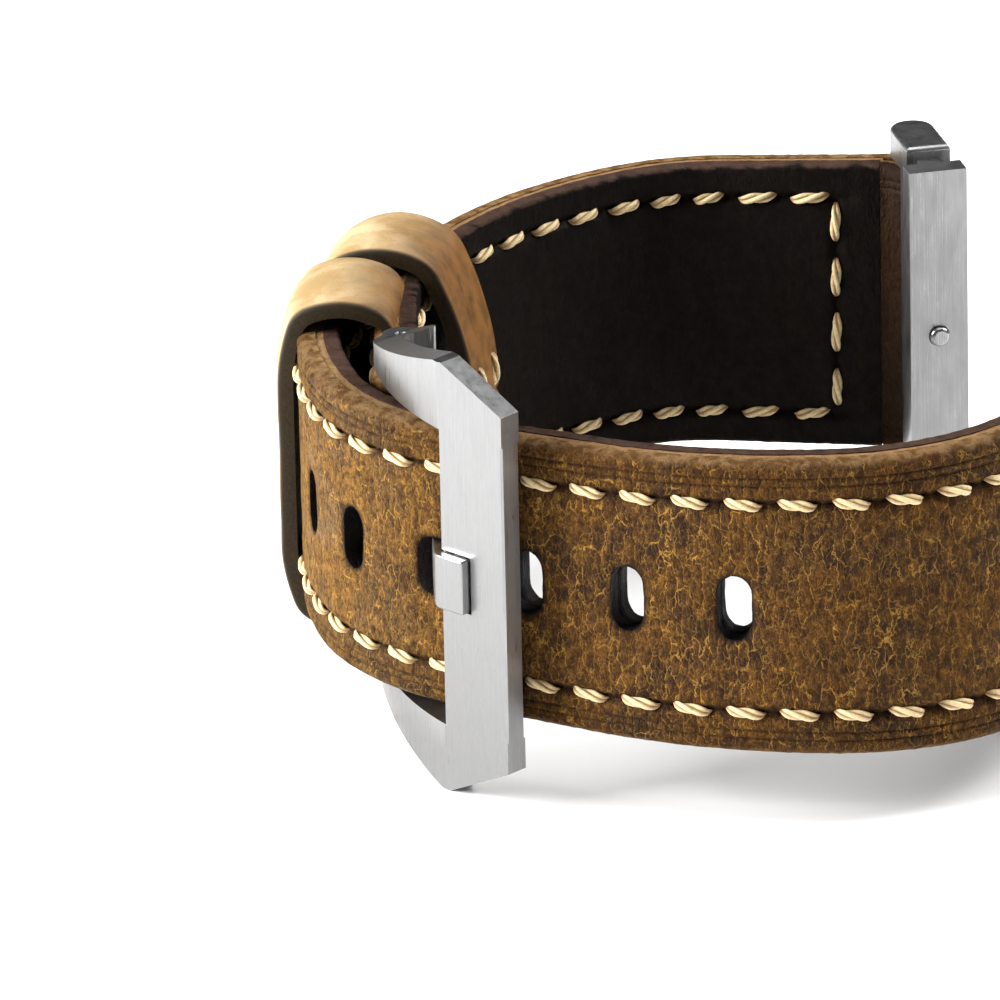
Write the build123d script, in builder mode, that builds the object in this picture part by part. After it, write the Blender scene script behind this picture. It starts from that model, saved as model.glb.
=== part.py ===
from build123d import *
import math
import os

os.makedirs("parts", exist_ok=True)

# A leather watch strap, buckled into its loop and standing on one edge, in millimetres.
# +Z runs across the strap's width, +X towards the watch end, +Y away from the tongue side.
# The origin lies under the middle of the loop, level with the buckle's lower shoulder.
# Sides are named by the loop: "inner" faces the wrist, "outer" is the grain side.
# A route is a start point, a heading in degrees, and runs of (length, turning radius);
# a positive radius turns left, which keeps the wrist on the left, and a radius of 0 is straight.

# Driving dimensions of the leather
LUG_WIDTH = 24.0              # strap width at the lug bars
BUCKLE_WIDTH = 22.0           # strap width at the buckle
TOP_THICKNESS = 1.4           # grain leather
FILLER_THICKNESS = 0.6        # padding between the two leathers
LINING_THICKNESS = 1.3        # lining leather against the wrist
EDGE_ROUNDING = 0.8           # burnished outer edge
LINING_ROUNDING = 0.35        # rim of the lining
LAYER_PLAY = 0.01             # glue line between layers
RIM_TOLERANCE = 0.04          # within which an edge counts as a rim

# Loop shape, read from the top
KEEPER_ARC_X = 7.88           # centre of the arc on which the free keeper slides
KEEPER_ARC_Y = 3.57
SHORT_ARC_RADIUS = 31.4       # outer side of the short strap in the keepers
SHORT_ARC_LENGTH = 36.0
SHORT_SHOULDER_RADIUS = 17.3  # tighter turn towards the rear lug
SHORT_SHOULDER_LENGTH = 9.0
SHORT_LUG_RUN = 14.8          # straight run to the rear lug
SHORT_BUCKLE_RUN = 14.9       # straight run to the buckle bar
SHORT_LUG_HEADING = 174.2
STRAP_GAP = 0.3               # between the two straps inside the keepers
TIP_ARC_LENGTH = 12.2         # long strap from its tip to where it leaves the keeper arc
LONG_KEEPER_HEADING = 254.0   # heading in which it leaves that arc
LONG_KEEPER_RUN = 10.0
LONG_BEND_RADIUS = 22.0
LONG_BEND_LENGTH = 8.14
LONG_SIDE_RADIUS = 39.8
LONG_SIDE_LENGTH = 7.1
LONG_BUCKLE_RADIUS = 20.5
LONG_BUCKLE_LENGTH = 16.8
LONG_FRONT_RUN = 10.7
LONG_FRONT_RADIUS = 40.7
LONG_FRONT_LENGTH = 19.6
LONG_LUG_RADIUS = 20.0
LONG_LUG_LENGTH = 26.2
LONG_LUG_RUN = 3.0

# Holes and the pointed tip of the long strap
HOLE_LENGTH = 2.5             # along the strap
HOLE_HEIGHT = 4.8             # across the strap
HOLE_PITCH = 8.25
HOLES_TO_LUG = 3              # holes between the buckled one and the lug
HOLES_TO_TIP = 3
TIP_LENGTH = 10.0             # over which the tip narrows
TIP_NOSE = 7.0                # width left at the tip before its nose is rounded
TIP_NOSE_ROUNDING = 3.0
TIP_BULGE_SHARE = 0.16        # how far the tip's sides bow out, as a share of its length
TIP_TRIM = 0.2                # cut off the band's end, so that the nose is cut clean

# Stitching
STITCH_INSET = 3.1            # stitch row from the strap's edge
SHORT_STITCH_INSET = 2.5
STITCH_LENGTH = 2.6
STITCH_PITCH = 4.0
STITCH_WIDTH = 0.75
STITCH_THICKNESS = 0.4
STITCH_SLANT = 6.0            # degrees
CROSS_TURN = 90.0             # degrees, for stitches that run across the strap
GROOVE_WIDTH = 1.1
GROOVE_DEPTH = 0.4
STITCH_CLEARANCE = 0.06       # thread above the groove's floor
STITCH_END_MARGIN = 8.0       # first stitch from a lug bar
STITCH_BUCKLE_MARGIN = 5.5    # last stitch from the buckle bar
STITCH_TIP_MARGIN = 12.5      # first stitch from the tip
CROSS_ROW_MARGIN = 6.0        # cross row from a lug bar

# Spring bars
BAR_RADIUS = 0.9
BAR_BORE_RADIUS = 0.6
BAR_END_WALL = 0.5            # crimped ends that keep the tips in
BAR_WEB = 0.6                 # wall between the two springs in a barrel
BAR_END_PLAY = 0.15           # barrel end to the ear beside it
TIP_PIN_RADIUS = 0.42
TIP_PLUNGER_LENGTH = 3.0
TIP_ENGAGEMENT = 1.4          # how deep a tip sits in its hole
TIP_HOLE_SPARE = 0.2          # hole deeper than the tip
TIP_PIN_PLAY = 0.04
PLUNGER_PLAY = 0.04
SPRING_WALL = 0.15
SPRING_PLAY = 0.06
LOOP_PLAY = 0.05              # leather loop round a barrel
LOOP_WALL = 1.35              # leather thickness round a barrel
LOOP_SINK = 2.1               # barrel centre from the strap's outer side
RETURN_LENGTH = 2.5           # turned-over leather on the inner side, from the barrel centre

# Buckle frame
FRAME_HALF_HEIGHT = 17.1      # to the shoulders
FRAME_CORNER_HALF_HEIGHT = 14.2
FRAME_PIN_HALF_HEIGHT = 14.0
FRAME_OPENING_HALF = 11.8
FRAME_THICKNESS = 1.9
FRAME_ARM_THICKNESS = 2.1
FRAME_PLATE_LENGTH = 6.45
FRAME_PLATE_HEADING = 136.4   # from the front corner towards the pin, in degrees
FRAME_ARM_RADIUS = 32.0
FRAME_ARM_LENGTH = 13.8
FRAME_ARM_KINK = 14.0         # degrees between the plate and the start of the arms
FRAME_FOOT_LENGTH = 0.9       # flat on each shoulder
FRAME_TAPER = 0.7             # how much thinner the plate is at its opening edge
FRAME_EDGE_CHAMFER = 0.15
BOSS_RADIUS = 1.35            # round the pin hole
BOSS_REACH = 2.7              # nose of the boss past the pin towards the wrist
BOSS_NOSE_RADIUS = 0.55
PIN_TO_ARM = 2.15             # pin axis from the arm's outer side
SHOULDER_RUN = 1.0            # pin axis past the arm's end

# Tongue
TONGUE_WIDTH = 4.25
TONGUE_ROUNDING = 0.25
TONGUE_THICKNESS = 1.2
TONGUE_EYE_WALL = 0.75
TONGUE_EYE_PLAY = 0.05
TONGUE_REST = 2.9             # length lying on the plate
TONGUE_SEAT_DEPTH = 0.4       # recess in the plate
TONGUE_SEAT_GAP = 0.03
TONGUE_SIDE_PLAY = 0.14
TONGUE_END_PLAY = 0.15        # seat past the tongue's end
TONGUE_OVERHANG = 0.5         # bend past the plate's opening edge
TONGUE_LIFT_ROOM = 1.45       # free hole beside the leg for lifting
TONGUE_HOLE_PLAY = 0.2
BUCKLED_HOLE_CORNER = 0.5
LOOP_SLOT_LENGTH = 6.0        # slot in the short strap's loop, from the pin

# Keepers
KEEPER_LENGTH = 10.2
KEEPER_THICKNESS = 1.2
KEEPER_EDGE_PLAY = 1.0        # above and below the straps
KEEPER_FACE_PLAY = 0.3        # over the outer strap
FREE_KEEPER_PLAY = 0.45       # free keeper over the outer strap
FREE_KEEPER_INNER_PLAY = 0.2
KEEPER_CORNER = 2.6           # inside corner over the outer strap
KEEPER_INNER_CORNER = 1.2     # inside corner against the lining
KEEPER_FLANGE = 3.0           # tucked between the layers
KEEPER_FLANGE_PLAY = 0.03
POCKET_PLAY = 0.2             # filler round the flange
FIXED_KEEPER_START = 8.3      # first edge from the buckle bar
FIXED_KEEPER_LEAN = 5.0       # degrees that it follows the long strap
KEEPER_SPACING = 0.9          # between the two keepers at rest
KEEPER_STITCH_LENGTH = 2.0
KEEPER_STITCH_SPREAD = 2.0   # from mid-width
KEEPER_STITCH_SHARE = 0.25    # from the keeper's middle, as a share of its span

# Lug adapters
EAR_THICKNESS = 2.3
EAR_PLAY = 0.3                # each side of the strap
EAR_WIDTH = 3.5
EAR_LENGTH = 4.8              # from the lug bar towards the watch
EAR_FILLET = 0.4
BRIDGE_THICKNESS = 1.9
RAIL_NECK_WIDTH = 1.8
RAIL_NECK_LENGTH = 0.9
RAIL_WIDTH = 4.6
RAIL_THICKNESS = 2.0
RAIL_END_MARGIN = 1.0         # rail shorter than the ears at each end
DETENT_RADIUS = 0.8
DETENT_COLLAR = 0.2
DETENT_COLLAR_LENGTH = 0.4
DETENT_PROUD = 0.5
DETENT_LIP = 0.4
DETENT_PLAY = 0.04
DETENT_TRAVEL = 0.5
DETENT_ROUNDING = 0.35
DETENT_SPRING_THICKNESS = 0.25  # cup washer behind the pin
DETENT_SPRING_BORE = 0.4
DETENT_SPARE = 0.05

OVERRUN = 5.0                 # past the solid, for cutting tools
LOOP_SPAN = 160.0             # longer than the loop is wide, for cutting tools
SHORTEST_RUN = 1e-6           # a shorter stretch of a route isn't drawn
ROUTE_SAMPLES = 600           # steps along a route when a nearest point is looked for
HALVINGS = 60                 # steps when a crossing is looked for

STRAP_THICKNESS = TOP_THICKNESS + FILLER_THICKNESS + LINING_THICKNESS
MIDDLE_Z = FRAME_HALF_HEIGHT  # mid-width of the strap above the lower shoulder
LOOP_RADIUS = BAR_RADIUS + LOOP_PLAY + LOOP_WALL


# Routes

def step(point, heading, length, radius):
    """Walk one straight or curved run and return the new point and heading."""
    x, y = point
    angle = math.radians(heading)
    if radius == 0:
        return (x + length * math.cos(angle), y + length * math.sin(angle)), heading
    turned = angle + length / radius
    x += radius * (math.sin(turned) - math.sin(angle))
    y -= radius * (math.cos(turned) - math.cos(angle))
    return (x, y), math.degrees(turned)


def walk(route, along):
    """Return the point and heading of a route at a distance from its start."""
    point, heading, runs = route
    left = along
    for index, (length, radius) in enumerate(runs):
        is_last = index == len(runs) - 1
        here = left if is_last or left <= length else length
        point, heading = step(point, heading, here, radius)
        left -= here
        if left <= 0 and not is_last:
            break
    return point, heading


def beside(route, along, aside=0.0):
    """Return a point at a distance along a route and at a distance to its left, inwards."""
    (x, y), heading = walk(route, along)
    angle = math.radians(heading)
    return x - aside * math.sin(angle), y + aside * math.cos(angle)


def route_length(route):
    return sum(length for length, radius in route[2])


def anchored(heading, runs, run_index, centre):
    """Place a route so that one of its curved runs turns about a given centre."""
    point, turned = (0.0, 0.0), heading
    for length, radius in runs[:run_index]:
        point, turned = step(point, turned, length, radius)
    radius = runs[run_index][1]
    angle = math.radians(turned)
    hub = (point[0] - radius * math.sin(angle), point[1] + radius * math.cos(angle))
    return (centre[0] - hub[0], centre[1] - hub[1]), heading, runs


def draw_side(route, start, end, aside):
    """Draw the lines and arcs beside a route between two distances, in an open BuildLine."""
    low, high = min(start, end), max(start, end)
    travelled = 0.0
    stretches = []
    for index, (length, radius) in enumerate(route[2]):
        is_last = index == len(route[2]) - 1
        first = max(low, travelled)
        last = high if is_last else min(high, travelled + length)
        if last - first > SHORTEST_RUN:
            stretches.append((first, last, radius))
        travelled += length
    for first, last, radius in stretches:
        ends = beside(route, first, aside), beside(route, last, aside)
        if radius == 0:
            Line(*ends)
        else:
            ThreePointArc(ends[0], beside(route, (first + last) / 2, aside), ends[1])


def draw_band(route, start, end, outer, inner):
    """Draw a closed band between two distances beside a route, in an open BuildLine."""
    draw_side(route, start, end, outer)
    Line(beside(route, end, outer), beside(route, end, inner))
    draw_side(route, start, end, inner)
    Line(beside(route, start, inner), beside(route, start, outer))


def rim_aside(route, x, y):
    """Return how far a point lies to the left of the nearest stretch of a route."""
    best = None
    for index in range(ROUTE_SAMPLES + 1):
        (px, py), heading = walk(route, route_length(route) * index / ROUTE_SAMPLES)
        angle = math.radians(heading)
        ahead = (x - px) * math.cos(angle) + (y - py) * math.sin(angle)
        aside = -(x - px) * math.sin(angle) + (y - py) * math.cos(angle)
        if best is None or abs(ahead) + abs(aside) < best[0]:
            best = (abs(ahead) + abs(aside), aside)
    return best[1]


keeper_centre = (KEEPER_ARC_X, KEEPER_ARC_Y)

short_runs = [
    (SHORT_LUG_RUN, 0),
    (SHORT_SHOULDER_LENGTH, SHORT_SHOULDER_RADIUS),
    (SHORT_ARC_LENGTH, SHORT_ARC_RADIUS),
    (SHORT_BUCKLE_RUN, 0),
]
short_route = anchored(SHORT_LUG_HEADING, short_runs, 2, keeper_centre)
short_length = route_length(short_route)

long_arc_radius = SHORT_ARC_RADIUS + STRAP_GAP + STRAP_THICKNESS
tip_heading = LONG_KEEPER_HEADING - math.degrees(TIP_ARC_LENGTH / long_arc_radius)
long_runs = [
    (TIP_ARC_LENGTH, long_arc_radius),
    (LONG_KEEPER_RUN, 0),
    (LONG_BEND_LENGTH, LONG_BEND_RADIUS),
    (LONG_SIDE_LENGTH, LONG_SIDE_RADIUS),
    (LONG_BUCKLE_LENGTH, LONG_BUCKLE_RADIUS),
    (LONG_FRONT_RUN, 0),
    (LONG_FRONT_LENGTH, LONG_FRONT_RADIUS),
    (LONG_LUG_LENGTH, LONG_LUG_RADIUS),
    (LONG_LUG_RUN, 0),
]
long_route = anchored(tip_heading, long_runs, 0, keeper_centre)
long_length = route_length(long_route)

short_lug_bar = beside(short_route, 0, LOOP_SINK)
long_lug_bar = beside(long_route, long_length, LOOP_SINK)
pin_bar = beside(short_route, short_length, LOOP_SINK)

# The taper is straight in side view, from the buckle bar to the front lug bar
taper_start_x = pin_bar[0]
taper_end_x = long_lug_bar[0]


def half_width(x, inset=0.0):
    share = (x - taper_start_x) / (taper_end_x - taper_start_x)
    return (BUCKLE_WIDTH + (LUG_WIDTH - BUCKLE_WIDTH) * share) / 2 - inset


side_plane = Plane(origin=(0, 0, MIDDLE_Z), x_dir=(1, 0, 0), z_dir=(0, -1, 0))


def draw_taper(inset):
    """Draw the strap's side view, narrowed by an inset, in an open BuildLine."""
    low_x = -LOOP_SPAN / 2
    high_x = LOOP_SPAN / 2
    Polyline(
        (low_x, half_width(low_x, inset)),
        (high_x, half_width(high_x, inset)),
        (high_x, -half_width(high_x, inset)),
        (low_x, -half_width(low_x, inset)),
        close=True,
    )


def level_plane(height):
    return Plane.XY.offset(MIDDLE_Z + height)


def heading_plane(point, heading, height=0.0):
    """A plane with X along a heading, Y up and Z to the right of the heading."""
    angle = math.radians(heading)
    return Plane(
        origin=(point[0], point[1], MIDDLE_Z + height),
        x_dir=(math.cos(angle), math.sin(angle), 0),
        z_dir=(math.sin(angle), -math.cos(angle), 0),
    )


def strap_plane(route, along, aside=0.0, height=0.0):
    """A plane on the strap: X along the route, Y across the strap, Z out of the loop."""
    return heading_plane(beside(route, along, aside), walk(route, along)[1], height)


# The buckle frame's plan: a plate, two curved arms and a boss round the pin

plate_runs = [(FRAME_PLATE_LENGTH, 0)]
arm_runs = [(FRAME_ARM_LENGTH, -FRAME_ARM_RADIUS)]


def plate_route_from(corner):
    return corner, FRAME_PLATE_HEADING, plate_runs


def arm_route_from(corner):
    end = walk(plate_route_from(corner), FRAME_PLATE_LENGTH)[0]
    return end, FRAME_PLATE_HEADING - FRAME_ARM_KINK, arm_runs


trial_arm = arm_route_from((0, 0))
trial_end = beside(trial_arm, FRAME_ARM_LENGTH, -PIN_TO_ARM)
arm_end_angle = math.radians(walk(trial_arm, FRAME_ARM_LENGTH)[1])
frame_corner = (
    pin_bar[0] - trial_end[0] - SHOULDER_RUN * math.cos(arm_end_angle),
    pin_bar[1] - trial_end[1] - SHOULDER_RUN * math.sin(arm_end_angle),
)
plate_route = plate_route_from(frame_corner)
arm_route = arm_route_from(frame_corner)
plate_plane = heading_plane(frame_corner, FRAME_PLATE_HEADING)


def on_plate(along, depth):
    """A plan point at a distance along the plate and at a depth under its outer face."""
    return beside(plate_route, along, -depth)


# The tongue's plan: an eye on the barrel, a leg through the strap and a foot on the plate

tongue_eye_radius = BAR_RADIUS + TONGUE_EYE_PLAY + TONGUE_EYE_WALL
foot_depth = TONGUE_SEAT_DEPTH - TONGUE_SEAT_GAP
bend_outer = on_plate(FRAME_PLATE_LENGTH + TONGUE_OVERHANG, foot_depth - TONGUE_THICKNESS)
tip_outer = on_plate(FRAME_PLATE_LENGTH - TONGUE_REST, foot_depth - TONGUE_THICKNESS)
tip_inner = on_plate(FRAME_PLATE_LENGTH - TONGUE_REST, foot_depth)
leg_vector = (pin_bar[0] - bend_outer[0], pin_bar[1] - bend_outer[1])
leg_length = math.hypot(*leg_vector)
leg_lean = math.asin((tongue_eye_radius - LOOP_PLAY) / leg_length)
leg_heading = math.degrees(math.atan2(leg_vector[1], leg_vector[0]) + leg_lean)
leg_route = (bend_outer, leg_heading, [(leg_length, 0)])


def on_leg(along, depth):
    """A plan point along the leg from its bend, and at a depth from its outer side."""
    return beside(leg_route, along, -depth)


# The foot's inner face runs on until it meets the leg's inner face
bend_angle = math.radians(FRAME_PLATE_HEADING - leg_heading)
bend_shift = TONGUE_THICKNESS * math.tan(bend_angle / 2)
bend_inner = on_leg(bend_shift, TONGUE_THICKNESS)


def crossing_of_leg():
    """Distance along the long strap at which the leg's middle passes its outer side."""
    middle = on_leg(0, TONGUE_THICKNESS / 2)
    angle = math.radians(leg_heading)
    low, high = 0.0, long_length
    for _ in range(HALVINGS):
        centre = (low + high) / 2
        x, y = beside(long_route, centre)
        if (x - middle[0]) * math.sin(angle) < (y - middle[1]) * math.cos(angle):
            low = centre
        else:
            high = centre
    return (low + high) / 2


buckled_hole = crossing_of_leg()
plain_holes = [buckled_hole + HOLE_PITCH * n for n in range(1, HOLES_TO_LUG + 1)]
plain_holes += [buckled_hole - HOLE_PITCH * n for n in range(1, HOLES_TO_TIP + 1)]

# The fixed keeper's plan: a straight piece over the long strap, square to a leaning axis

keeper_mid = short_length - FIXED_KEEPER_START - KEEPER_LENGTH / 2
keeper_point = beside(short_route, keeper_mid)
keeper_heading = walk(short_route, keeper_mid)[1] - FIXED_KEEPER_LEAN
keeper_half = half_width(keeper_point[0])


def reach_right(point, heading, route, span):
    """How far a route's outer side comes to the right of an axis, within a span of it."""
    angle = math.radians(heading)
    reach = 0.0
    for index in range(ROUTE_SAMPLES + 1):
        x, y = beside(route, route_length(route) * index / ROUTE_SAMPLES)
        ahead = (x - point[0]) * math.cos(angle) + (y - point[1]) * math.sin(angle)
        right = (x - point[0]) * math.sin(angle) - (y - point[1]) * math.cos(angle)
        if abs(ahead) < span:
            reach = max(reach, right)
    return reach


keeper_reach = reach_right(keeper_point, keeper_heading, long_route, KEEPER_LENGTH / 2)
keeper_wall = keeper_reach + KEEPER_FACE_PLAY

# The free keeper's plan: an arc about the keeper centre, behind the fixed keeper

ring_low = SHORT_ARC_RADIUS - STRAP_THICKNESS - FREE_KEEPER_INNER_PLAY
ring_high = long_arc_radius + FREE_KEEPER_PLAY
ring_half = keeper_half + KEEPER_EDGE_PLAY


def polar_of(point):
    """Direction of a plan point from the keeper centre, in degrees."""
    return math.degrees(math.atan2(point[1] - KEEPER_ARC_Y, point[0] - KEEPER_ARC_X))


def keeper_corner_point(right):
    """A plan point on the fixed keeper's rear face, to the right of its axis."""
    return beside((keeper_point, keeper_heading, [(0, 0)]), -KEEPER_LENGTH / 2, -right)


rear_corners = [keeper_corner_point(keeper_wall + KEEPER_THICKNESS), keeper_corner_point(0)]
rear_polar = min(polar_of(corner) for corner in rear_corners)
ring_end_polar = rear_polar - math.degrees(KEEPER_SPACING / ring_low)
ring_span = math.degrees(KEEPER_LENGTH / (ring_high + KEEPER_THICKNESS))
ring_start_polar = ring_end_polar - ring_span


# Cutting tools

def band_solid(route, start, end, outer, inner):
    """A solid over the whole height for one span of a route, between two depths."""
    with BuildPart() as tool:
        with BuildSketch(Plane.XY.offset(-LOOP_SPAN / 2)):
            with BuildLine():
                draw_band(route, start, end, outer, inner)
            make_face()
        extrude(amount=LOOP_SPAN)
    return tool.part


def taper_solid(inset):
    with BuildPart() as tool:
        with BuildSketch(side_plane):
            with BuildLine():
                draw_taper(inset)
            make_face()
        extrude(amount=LOOP_SPAN / 2, both=True)
    return tool.part


def cylinder_on(centre, radius, low, high):
    """An upright cylinder at a plan point, between two heights from mid-width."""
    with BuildPart() as tool:
        with BuildSketch(level_plane(low)):
            with Locations(centre):
                Circle(radius)
        extrude(amount=high - low)
    return tool.part


def groove_tool(route, start, end, surface, inset):
    """The two pressed grooves along the edges of one surface."""
    with BuildPart() as tool:
        add(band_solid(route, start, end, surface - GROOVE_DEPTH, surface + GROOVE_DEPTH))
        add(taper_solid(inset - GROOVE_WIDTH / 2), mode=Mode.INTERSECT)
        add(taper_solid(inset + GROOVE_WIDTH / 2), mode=Mode.SUBTRACT)
    return tool.part


def cross_groove_tool(route, along, surface, inset):
    """The groove across the strap near a lug."""
    low, high = along - GROOVE_WIDTH / 2, along + GROOVE_WIDTH / 2
    with BuildPart() as tool:
        add(band_solid(route, low, high, surface - GROOVE_DEPTH, surface + GROOVE_DEPTH))
        add(taper_solid(inset - GROOVE_WIDTH / 2), mode=Mode.INTERSECT)
    return tool.part


def hole_tool(along):
    """An oval hole square to the long strap."""
    with BuildPart() as tool:
        with BuildSketch(strap_plane(long_route, along, -OVERRUN)):
            SlotOverall(HOLE_HEIGHT, HOLE_LENGTH, rotation=90)
        extrude(amount=-(STRAP_THICKNESS + 2 * OVERRUN))
    return tool.part


def buckled_hole_tool():
    """The hole that the leg passes through, drawn open along the leg."""
    outer_side = -(TONGUE_LIFT_ROOM + TONGUE_HOLE_PLAY)
    inner_side = TONGUE_THICKNESS + TONGUE_HOLE_PLAY
    width = inner_side - outer_side
    middle = on_leg(-OVERRUN, (outer_side + inner_side) / 2)
    angle = math.radians(leg_heading)
    plane = Plane(
        origin=(middle[0], middle[1], MIDDLE_Z),
        x_dir=(math.sin(angle), -math.cos(angle), 0),
        z_dir=(math.cos(angle), math.sin(angle), 0),
    )
    with BuildPart() as tool:
        with BuildSketch(plane):
            RectangleRounded(width, HOLE_HEIGHT, BUCKLED_HOLE_CORNER)
        extrude(amount=leg_length - tongue_eye_radius + OVERRUN)
    return tool.part


def tip_side_middle(edge, nose):
    """Middle of the bowed side of the tip."""
    slope = math.hypot(TIP_LENGTH, edge - nose)
    bulge = TIP_BULGE_SHARE * TIP_LENGTH
    along = TIP_LENGTH / 2 - bulge * (edge - nose) / slope
    across = (edge + nose) / 2 + bulge * TIP_LENGTH / slope
    return along, across


def tip_tool():
    """What is cut away round the long strap's tip, in the plane of the tip."""
    plane = strap_plane(long_route, 0, -OVERRUN)
    edge = half_width(beside(long_route, TIP_LENGTH)[0])
    nose = TIP_NOSE / 2
    along, across = tip_side_middle(edge, nose)
    with BuildPart() as tool:
        with BuildSketch(plane):
            with BuildLine():
                Line((TIP_TRIM, -nose), (TIP_TRIM, nose))
                ThreePointArc((TIP_TRIM, nose), (along, across), (TIP_LENGTH, edge))
                Polyline(
                    (TIP_LENGTH, edge), (TIP_LENGTH, edge + OVERRUN), (-OVERRUN, edge + OVERRUN),
                    (-OVERRUN, -edge - OVERRUN), (TIP_LENGTH, -edge - OVERRUN), (TIP_LENGTH, -edge),
                )
                ThreePointArc((TIP_LENGTH, -edge), (along, -across), (TIP_TRIM, -nose))
            make_face()
            corners = vertices().sort_by_distance((plane.origin.X, plane.origin.Y, MIDDLE_Z))[:2]
            fillet(corners, TIP_NOSE_ROUNDING)
        extrude(amount=-(STRAP_THICKNESS + 2 * OVERRUN))
    return tool.part


tongue_slot_half = TONGUE_WIDTH / 2 + TONGUE_SIDE_PLAY


def tongue_slot_tool():
    """The slot in the short strap's loop that leaves room for the tongue's eye."""
    middle = short_length - LOOP_SLOT_LENGTH / 2 + OVERRUN / 2
    with BuildPart() as tool:
        with BuildSketch(strap_plane(short_route, middle, -OVERRUN)):
            Rectangle(LOOP_SLOT_LENGTH + OVERRUN, 2 * tongue_slot_half)
        extrude(amount=-(STRAP_THICKNESS + 2 * OVERRUN))
    return tool.part


full_taper = taper_solid(0)
tip_cut = tip_tool()
tongue_slot = tongue_slot_tool()
holes = [hole_tool(along) for along in plain_holes] + [buckled_hole_tool()]


def rim_edges(part, route, depth):
    """Edges of the upper and lower rims that lie at a depth from the strap's outer side."""
    chosen = []
    for edge in part.edges():
        middle = edge.position_at(0.5)
        at_rim = abs(abs(middle.Z - MIDDLE_Z) - half_width(middle.X)) < RIM_TOLERANCE
        if at_rim and abs(rim_aside(route, middle.X, middle.Y) - depth) < RIM_TOLERANCE:
            chosen.append(edge)
    return chosen


def layer(route, start, end, outer, inner):
    """One layer of a strap, over the whole width between the tapered edges."""
    with BuildPart() as sheet:
        add(band_solid(route, start, end, outer, inner))
        add(full_taper, mode=Mode.INTERSECT)
    return sheet.part


def add_loop(bar):
    """Add the leather that turns round a bar, and clear it for the barrel."""
    reach = half_width(bar[0])
    add(cylinder_on(bar, LOOP_RADIUS, -reach, reach))
    add(cylinder_on(bar, BAR_RADIUS + LOOP_PLAY, -LUG_WIDTH, LUG_WIDTH), mode=Mode.SUBTRACT)


lining_depth = TOP_THICKNESS + FILLER_THICKNESS
loop_clear = LOOP_RADIUS + LAYER_PLAY
cross_on_long = long_length - CROSS_ROW_MARGIN
cross_on_short = CROSS_ROW_MARGIN
long_return = long_length - RETURN_LENGTH + LAYER_PLAY
short_return = short_length - RETURN_LENGTH + LAYER_PLAY
short_row_end = short_length - STITCH_BUCKLE_MARGIN
groove_spare = STITCH_PITCH / 2


def cut_long_grooves(surface):
    start = STITCH_TIP_MARGIN - groove_spare
    add(groove_tool(long_route, start, cross_on_long, surface, STITCH_INSET), mode=Mode.SUBTRACT)
    add(cross_groove_tool(long_route, cross_on_long, surface, STITCH_INSET), mode=Mode.SUBTRACT)


def cut_short_grooves(surface):
    end = short_row_end + groove_spare
    add(groove_tool(short_route, cross_on_short, end, surface, SHORT_STITCH_INSET), mode=Mode.SUBTRACT)
    add(cross_groove_tool(short_route, cross_on_short, surface, SHORT_STITCH_INSET), mode=Mode.SUBTRACT)


def cut_long_openings():
    add(tip_cut, mode=Mode.SUBTRACT)
    for hole in holes:
        add(hole, mode=Mode.SUBTRACT)


# Long strap

with BuildPart() as long_top_leather:
    add(layer(long_route, 0, long_length, 0, TOP_THICKNESS))
    fillet(rim_edges(long_top_leather, long_route, 0), EDGE_ROUNDING)
    add(layer(long_route, long_return, long_length, lining_depth, STRAP_THICKNESS))
    add_loop(long_lug_bar)
    cut_long_grooves(0)
    cut_long_openings()
long_top_leather.part.label = "long_top_leather"
export_step(long_top_leather.part, "parts/long_top_leather.step")

with BuildPart() as long_filler:
    add(layer(long_route, 0, long_length - loop_clear, TOP_THICKNESS + LAYER_PLAY, lining_depth - LAYER_PLAY))
    cut_long_openings()
long_filler.part.label = "long_filler"
export_step(long_filler.part, "parts/long_filler.step")

with BuildPart() as long_lining:
    add(layer(long_route, 0, long_length - RETURN_LENGTH, lining_depth, STRAP_THICKNESS))
    fillet(rim_edges(long_lining, long_route, STRAP_THICKNESS), LINING_ROUNDING)
    cut_long_grooves(STRAP_THICKNESS)
    cut_long_openings()
long_lining.part.label = "long_lining"
export_step(long_lining.part, "parts/long_lining.step")


# Fixed keeper

def keeper_slab(length, low, high, height, corner):
    """A rounded bar along the keeper's axis, between two distances to its right."""
    angle = math.radians(keeper_heading)
    plane = Plane(
        origin=(keeper_point[0], keeper_point[1], MIDDLE_Z),
        x_dir=(math.sin(angle), -math.cos(angle), 0),
        z_dir=(-math.cos(angle), -math.sin(angle), 0),
    )
    with BuildPart() as slab:
        with BuildSketch(plane):
            with Locations(((low + high) / 2, 0)):
                RectangleRounded(high - low, height, corner)
        extrude(amount=length / 2, both=True)
    return slab.part


keeper_depth = STRAP_THICKNESS + 2 * OVERRUN
keeper_height = 2 * (keeper_half + KEEPER_EDGE_PLAY)
keeper_outer_height = keeper_height + 2 * KEEPER_THICKNESS
outer_corner = KEEPER_CORNER + KEEPER_THICKNESS
flange_floor = lining_depth - KEEPER_FLANGE_PLAY
flange_start = keeper_mid - KEEPER_LENGTH
flange_end = keeper_mid + KEEPER_LENGTH


def flange_solid(play):
    """The keeper's two turned-in flanges, grown by a play in the plane of the strap."""
    grown = KEEPER_LENGTH + 2 * play
    inner_height = 2 * (keeper_half - KEEPER_FLANGE - play)
    flange_top = TOP_THICKNESS + KEEPER_FLANGE_PLAY
    with BuildPart() as flange:
        add(band_solid(short_route, flange_start, flange_end, flange_top, flange_floor))
        add(keeper_slab(grown, -keeper_depth, keeper_depth, keeper_outer_height, outer_corner),
            mode=Mode.INTERSECT)
        add(keeper_slab(2 * grown, -2 * keeper_depth, 2 * keeper_depth, inner_height, KEEPER_CORNER),
            mode=Mode.SUBTRACT)
    return flange.part


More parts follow.
